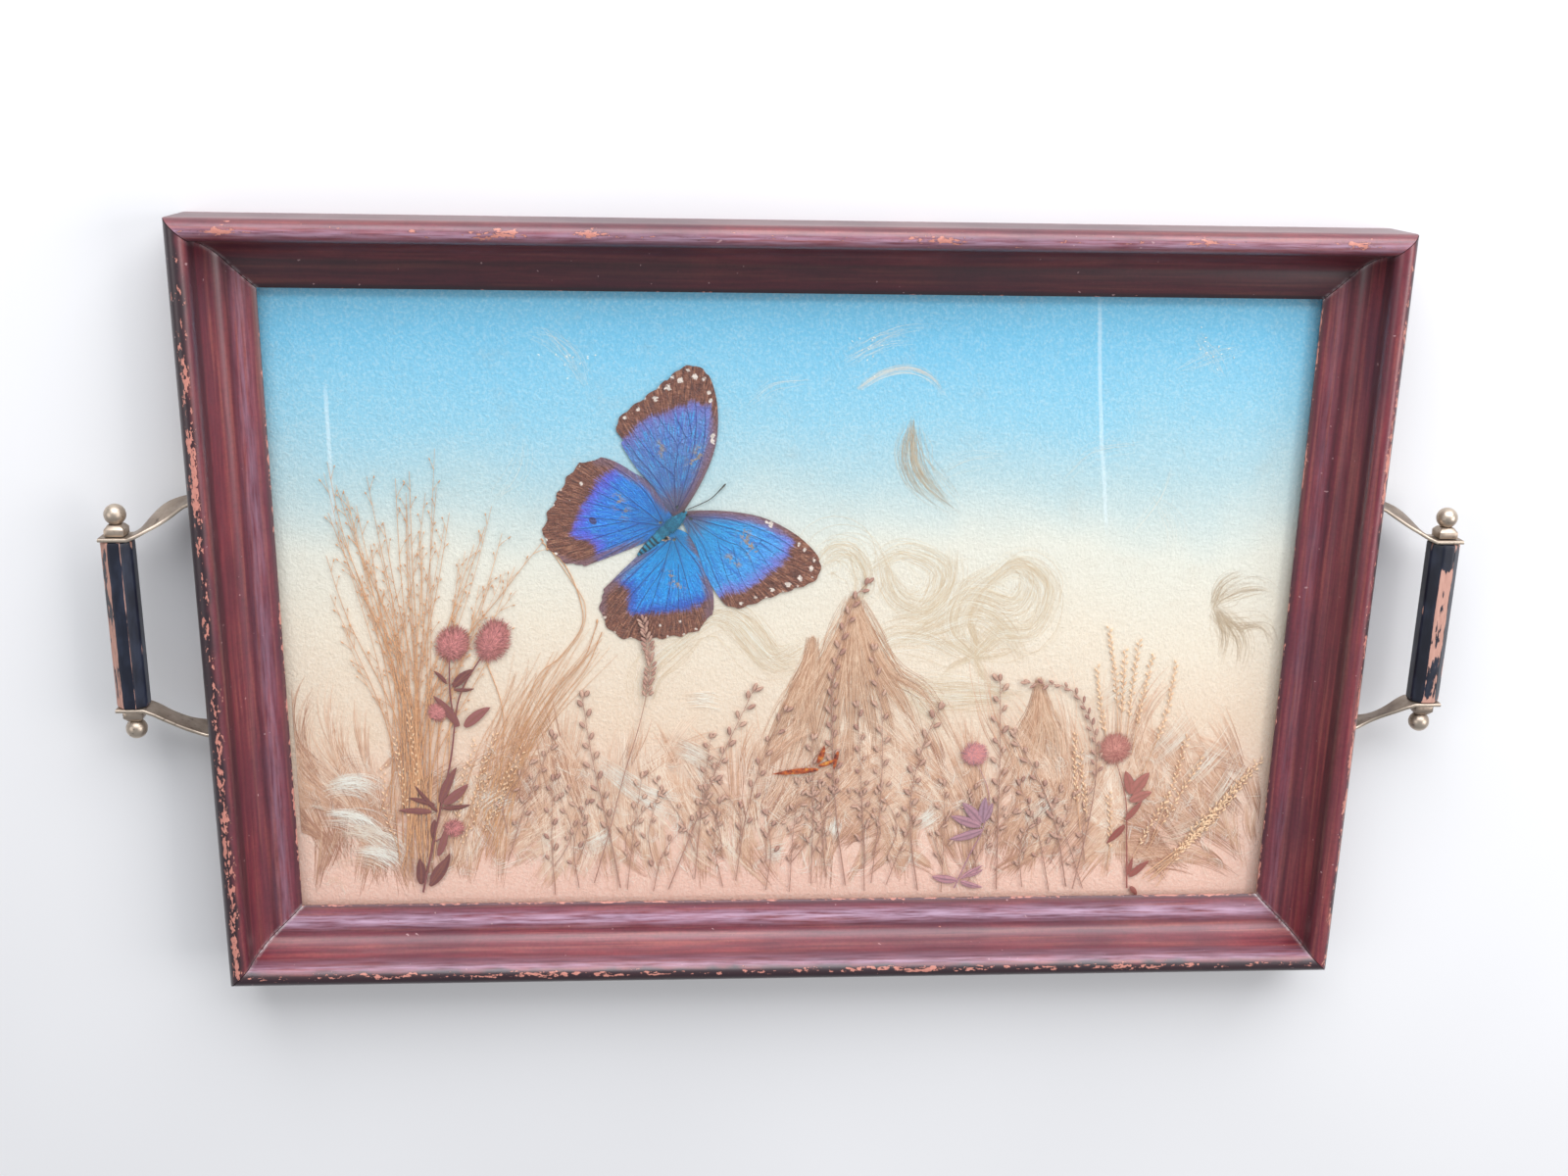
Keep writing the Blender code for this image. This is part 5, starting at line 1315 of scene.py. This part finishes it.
# Routes from root to tip
STEMS = {
    "seed_stem_by_wing": ((-89, -131), (-82, -106), (-75, -78), (-67, -50), (-63, -25), (-66, -4)),
    "seed_stem_left": ((-77, -134), (-82, -105), (-89, -70), (-93, -40)),
    "seed_stem_middle": ((-55, -135), (-44, -105), (-32, -72), (-17, -37)),
    "seed_stem_tall": ((27, -134), (22, -100), (19, -60), (19, -28), (27, 5), (33, 13)),
    "seed_stem_forked": ((61, -137), (57, -112), (56, -89), (60, -66), (67, -46)),
    "seed_stem_straight": ((98, -137), (97, -106), (96, -70), (94, -33)),
    "seed_stem_leaning": ((131, -136), (124, -104), (113, -78), (102, -60)),
    "seed_stem_arched": ((134, -137), (139, -105), (141, -76), (137, -54), (126, -37), (106, -34)),
}
SMALL_STEMS = (
    ((-107, -137), (-108, -110), (-107, -80)), ((-74, -135), (-71, -108), (-67, -79)),
    ((-43, -130), (-40, -96), (-36, -60)), ((-24, -131), (-20, -100), (-14, -76), (-3, -47)),
    ((1, -137), (2, -110), (4, -83)), ((11, -133), (11, -98), (10, -61)), ((36, -137), (34, -100), (30, -45)),
    ((39, -133), (42, -90), (41, -50), (36, -18)), ((72, -138), (72, -110), (71, -84)),
    ((123, -138), (116, -108), (106, -84)), ((139, -137), (130, -112), (122, -96)),
    ((-128, -120), (-118, -88), (-106, -60)), ((-62, -136), (-58, -118), (-50, -106)),
    ((-30, -134), (-34, -112), (-32, -92)), ((46, -134), (52, -116), (58, -104)),
    ((-10, -136), (-8, -116), (-10, -98)), ((84, -134), (92, -112), (104, -98)),
    ((110, -136), (108, -116), (112, -100)), ((-96, -134), (-98, -112), (-92, -92)),
    ((18, -130), (16, -108), (20, -88)),
)


def build_stems():
    """The eight seed stems of the CAD model, and the small ones between them."""
    look = plant_look("seed_stems", (164, 112, 100), (226, 188, 164), (126, 82, 74), 0.65)
    ways = {
        "seed_stem_by_wing": {
            "z": 6.45, "pod": (3.6, 1.5), "start": 0.72, "every": 2.2, "branch": 2.4, "tone": 0.35, "double": True,
        },
        "seed_stem_tall": {"pod": (3.9, 1.9), "start": 0.3, "every": 3.8, "branch": 3.2, "tone": 0.4},
        "seed_stem_arched": {"z": 6.45, "pod": (3.6, 1.5), "start": 0.45, "every": 2.8, "branch": 2.2, "tone": 0.35},
    }
    for name, route in STEMS.items():
        part = Part()
        seed_stem(part, route, **ways.get(name, {}))
        part.build(name, look, "seed_stem", [name])
    small = Part()
    for k, route in enumerate(SMALL_STEMS):
        seed_stem(small, route, 0.24, (3.6, 1.8), 0.25, 5.2, 5.0, 5.7 + 0.02 * (k % 9), 0.6 if k % 3 else 0.4)
        root = np.array(route[0], float) + (0, 14)
        side_route = (root, root + (RNG.normal(0, 4), 16), root + (RNG.normal(0, 9), 34))
        seed_stem(small, side_route, 0.2, (3.3, 1.6), 0.3, 5.4, 4.2, 5.65, 0.6)
    small.build("small_seed_stems", look, "seed_stem")


def leaf(part, base, heading, length, width, z, tone, bend=0.3, steps=12):
    """A pressed leaf: a blade with a raised midrib that bends to one side."""
    t = np.linspace(0, 1, steps)
    angle = heading + bend * t
    step = length / (steps - 1)
    xy = np.asarray(base, float) + np.column_stack([np.cumsum(np.cos(angle) * step), np.cumsum(np.sin(angle) * step)])
    wide = width / 2 * np.sin(np.clip(t * 0.97 + 0.03, 0, 1) ** 0.8 * math.pi) ** 0.75 + 0.05
    across = np.column_stack([-np.sin(angle), np.cos(angle)])
    u = np.linspace(-1, 1, 7)
    grid = xy[:, None] + across[:, None] * (wide[:, None] * u)[..., None]
    rise = z + 0.16 * (1 - np.abs(u)) + 0.07 * np.sin(t[:, None] * 17 + u * 2) * np.abs(u)
    points = np.column_stack([grid.reshape(-1, 2), np.broadcast_to(rise, (steps, 7)).ravel()])
    rim = np.broadcast_to(np.where(np.abs(u) > 0.9, 0.7, np.where(np.abs(u) < 0.1, 0.85, 0.0)), (steps, 7)).ravel()
    part.add(points, grid_faces(steps, 7)[:, ::-1], tone=tone, rim=rim)


def flower_head(part, x, y, half_length, half_width, turn, z, count, tones=(0.5, 1.0)):
    """A woolly pressed head: a core under many short hairs that lie outwards from its axis."""
    a = math.radians(turn)
    axis, across = unit(a), np.array([-math.sin(a), math.cos(a)])
    t = np.linspace(-1, 1, 15)
    path = np.column_stack([np.array([x, y]) + axis * (t * half_length * 0.86)[:, None], np.full(15, z)])
    size = np.sqrt(np.clip(1 - t**2, 0.001, 1))
    part.add(*strands(path[None], (size * half_width * 0.82)[None], (size * 0.42)[None], 14), tone=0.35, rim=0.15)
    u, v = RNG.uniform(-1, 1, count), RNG.uniform(-1, 1, count)
    keep = u**2 + v**2 < 1
    u, v = u[keep], v[keep]
    start = np.array([x, y]) + axis * (u * half_length * 0.84)[:, None] + across * (v * half_width * 0.84)[:, None]
    out = axis * (u * 0.9 + 0.55)[:, None] + across * (v * 1.1)[:, None] + RNG.normal(0, 0.28, (len(u), 2))
    out /= np.linalg.norm(out, axis=1)[:, None]
    t = np.linspace(0, 1, 4)
    long = RNG.uniform(0.2, 0.46, len(u)) * (half_width + 1.5)
    xy = start[:, None] + out[:, None] * (long[:, None] * t)[..., None]
    edge = np.sqrt(u**2 + v**2)
    lift = z + 0.42 * np.sqrt(np.clip(1 - edge**2 * 0.9, 0, 1))
    height = np.minimum(lift[:, None] + 0.12 * np.sin(t * math.pi) - 0.1 * t, 6.9)
    points, faces = strands(np.dstack([xy, height]), 0.15 * (1 - 0.75 * t)[None])
    tone = tones[0] + (tones[1] - tones[0]) * (1 - edge[:, None]) - 0.3 + 0.5 * t + RNG.normal(0, 0.28, (len(u), 1))
    rim = np.clip(0.6 * smooth(edge, 0.55, 1.0)[:, None] * (1 - 0.6 * t) + RNG.uniform(-0.2, 0.3, (len(u), 1)), 0, 1)
    part.add(points, faces, tone=np.clip(np.repeat(tone.ravel(), 2), 0, 1), rim=np.repeat(rim.ravel(), 2))


# For each clover: its look, its stalks (route, radius, z, tone, steps, share of the radius left at the tip), its heads
# (see flower_head), the height of its leaves, and the leaves (x, y, heading, length, width, tone)
CLOVERS = {
    "clover_left": (
        ("clover_mauve", (112, 58, 58), (232, 146, 144), (142, 84, 66), 0.75),
        (
            (((-167, -135), (-160, -104), (-152, -70), (-147, -40), (-135.5, -19)), 0.55, 6.1, 0.15, 40, 0.6),
            (((-149, -54), (-151, -38), (-150.5, -20)), 0.42, 6.1, 0.15, 20, 0.7),
            (((-161.5, -110), (-156, -107), (-152, -104)), 0.35, 6.0, 0.2, 8),
        ),
        (
            (-131.5, -13.5, 10.5, 6.4, 68, 6.2, 1500), (-149, -15, 8.0, 6.4, 62, 6.2, 1300),
            (-157, -47, 4.2, 3.6, 80, 6.0, 500, (0.8, 1.0)), (-152, -103, 4.4, 4.0, 0, 6.1, 500, (0.6, 1.0)),
        ),
        6.25,
        (
            (-150, -36, 55, 12, 4.0, 0.0), (-151, -34, 20, 10, 1.8, 0.0), (-150, -36, -12, 9, 1.7, 0.0),
            (-152, -34, 120, 8, 1.8, 0.0), (-146, -55, 50, 15, 4.6, 0.25), (-147, -55, 118, 18, 4.0, 0.12),
            (-158, -92, 72, 19, 4.0, 0.1), (-157, -92, 35, 15, 4.4, 0.2), (-158, -93, -4, 13, 2.4, 0.0),
            (-159, -92, 158, 12, 2.6, 0.0), (-160, -95, 175, 15, 3.0, 0.12), (-158, -96, 130, 16, 2.2, 0.0),
            (-160, -98, 255, 9, 2.2, 0.0), (-168, -132, 82, 13, 4.6, 0.0), (-165, -133, 48, 19, 4.6, 0.0),
            (-164, -131, 60, 15, 4.0, 0.05), (-160, -118, 66, 16, 3.4, 0.2),
        ),
    ),
    "clover_middle": (
        ("clover_pale", (172, 132, 148), (236, 150, 142), (132, 96, 108), 0.75),
        ((((78, -136), (84, -120), (90, -106), (92, -90), (88, -78), (84, -72)), 0.36, 6.15, 0.2, 40),),
        ((84, -68.5, 5.4, 5.0, 0, 6.2, 900, (0.85, 1.0)),),
        6.2,
        (
            (90, -104, 96, 13, 4.4, 0.0), (90, -104, 128, 14, 5.0, 0.15), (90, -105, 160, 15, 4.6, 0.2),
            (91, -106, 205, 16, 4.2, 0.15), (90, -103, 70, 10, 3.6, 0.05), (80, -132, 178, 12, 4.0, 0.3),
            (80, -132, 40, 12, 2.4, 0.3), (80, -132, 330, 11, 2.8, 0.3), (82, -130, 10, 9, 2.2, 0.3),
        ),
    ),
    "clover_right": (
        ("clover_rose", (150, 70, 62), (226, 156, 142), (150, 92, 76), 0.75),
        ((((160, -137), (158, -112), (156, -92), (149.5, -71)), 0.42, 6.1, 0.2, 36),),
        ((149, -66.5, 6.8, 6.4, 90, 6.2, 1500, (0.4, 0.9)),),
        6.2,
        (
            (158, -90, 60, 13, 5.6, 0.3), (158, -90, 96, 12, 4.6, 0.25), (157, -93, 30, 11, 4.8, 0.35),
            (156, -103, 52, 12, 3.0, 0.1), (157, -104, 232, 12, 3.4, 0.0), (160, -132, 48, 12, 3.4, 0.05),
            (160, -131, 84, 9, 2.0, 0.05), (161, -136, 320, 6, 2.4, 0.1),
        ),
    ),
}


def build_clovers():
    for name, (look, stalks, heads, leaf_z, leaves) in CLOVERS.items():
        part = Part()
        for stem in stalks:
            stalk(part, *stem)
        for head in heads:
            flower_head(part, *head)
        for x, y, heading, length, width, tone in leaves:
            leaf(part, (x, y), math.radians(heading), length, width, leaf_z, tone, RNG.normal(0, 0.25))
        part.build(name, plant_look(*look), "clover", [name])


def build_petal():
    amber = Look("amber_petal")
    mottle = amber.noise(amber.place(), 520.0, 4.0)
    colour = amber.ramp(mottle, (0.35, (112, 34, 8)), (0.55, (190, 84, 20)), (0.75, (226, 160, 60)))
    amber.set(Base_Color=colour, Roughness=0.35, Normal=amber.bump(mottle, 0.5, 0.15))
    petal = Part()
    for x, y, heading, length, width, z, bend, steps in (
        (14, -75.5, 184, 21, 2.6, 6.4, 0.06, 20), (12, -73, 58, 9, 2.4, 6.35, 0.4, 12),
        (22, -66, 250, 9, 1.8, 6.35, 0.3, 12), (12, -74, 10, 9, 2.0, 6.3, 0.4, 12),
    ):
        leaf(petal, (x, y), math.radians(heading), length, width, z, 0.0, bend, steps)
    petal.build("amber_petal", amber.material, "petal", ["amber_petal"])


# ---- Room ----


def build_room():
    """The photo's camera, a window and two fill lights, and a floor that is only staging."""
    scene = bpy.context.scene
    camera_data = bpy.data.cameras.new("camera")
    camera_data.sensor_width = 36.0
    camera_data.lens = 37.84
    camera_data.clip_start = 0.01
    camera = bpy.data.objects.new("camera", camera_data)
    scene.collection.objects.link(camera)
    right = Vector((0.99802, 0.01817, 0.06025))
    up = Vector((0.00025, 0.95624, -0.29258))
    back = Vector((-0.06293, 0.29201, 0.95434))
    turn = Matrix((right, up, back)).transposed().to_4x4()
    camera.matrix_world = Matrix.Translation((-0.0497, 0.2214, 0.6952)) @ turn
    scene.camera = camera

    def lamp(name, place, size, power, colour):
        """A soft light that looks at the tray's middle; lengths in metres."""
        data = bpy.data.lights.new(name, "AREA")
        data.shape = "RECTANGLE"
        data.size, data.size_y = size
        data.energy, data.color = power, colour
        light = bpy.data.objects.new(name, data)
        scene.collection.objects.link(light)
        light.location = place
        light.rotation_euler = Vector(place).to_track_quat("Z", "Y").to_euler()

    lamp("window", (0.25, 1.5, 1.0), (2.4, 1.5), 62.0, (0.95, 0.96, 1.0))
    lamp("fill", (1.4, 0.1, 1.2), (0.9, 0.9), 13.0, (1.0, 0.97, 0.97))
    lamp("fill_left", (-1.4, 0.1, 1.2), (0.9, 0.9), 5.0, (1.0, 0.97, 0.96))

    world = bpy.data.worlds.new("room")
    world.use_nodes = True
    backdrop = world.node_tree.nodes["Background"]
    backdrop.inputs["Color"].default_value = (0.86, 0.9, 0.97, 1.0)
    backdrop.inputs["Strength"].default_value = 0.4
    scene.world = world
    scene.view_settings.view_transform = "Standard"

    look = Look("floor")
    tone = look.noise(look.place(), 3.0, 2.0)
    look.set(Base_Color=look.ramp(tone, (0.3, (214, 214, 214)), (0.7, (222, 222, 222))), Roughness=0.9)
    mesh = bpy.data.meshes.new("floor")
    half = 6.0
    mesh.from_pydata([(-half, -half, 0), (half, -half, 0), (half, half, 0), (-half, half, 0)], [], [(0, 1, 2, 3)])
    mesh.materials.append(look.material)
    ground = bpy.data.objects.new("floor", mesh)
    scene.collection.objects.link(ground)


build_frame()
dress_sheets()
build_handles()
build_butterfly()
build_down()
build_grasses()
build_stems()
build_clovers()
build_petal()
build_room()
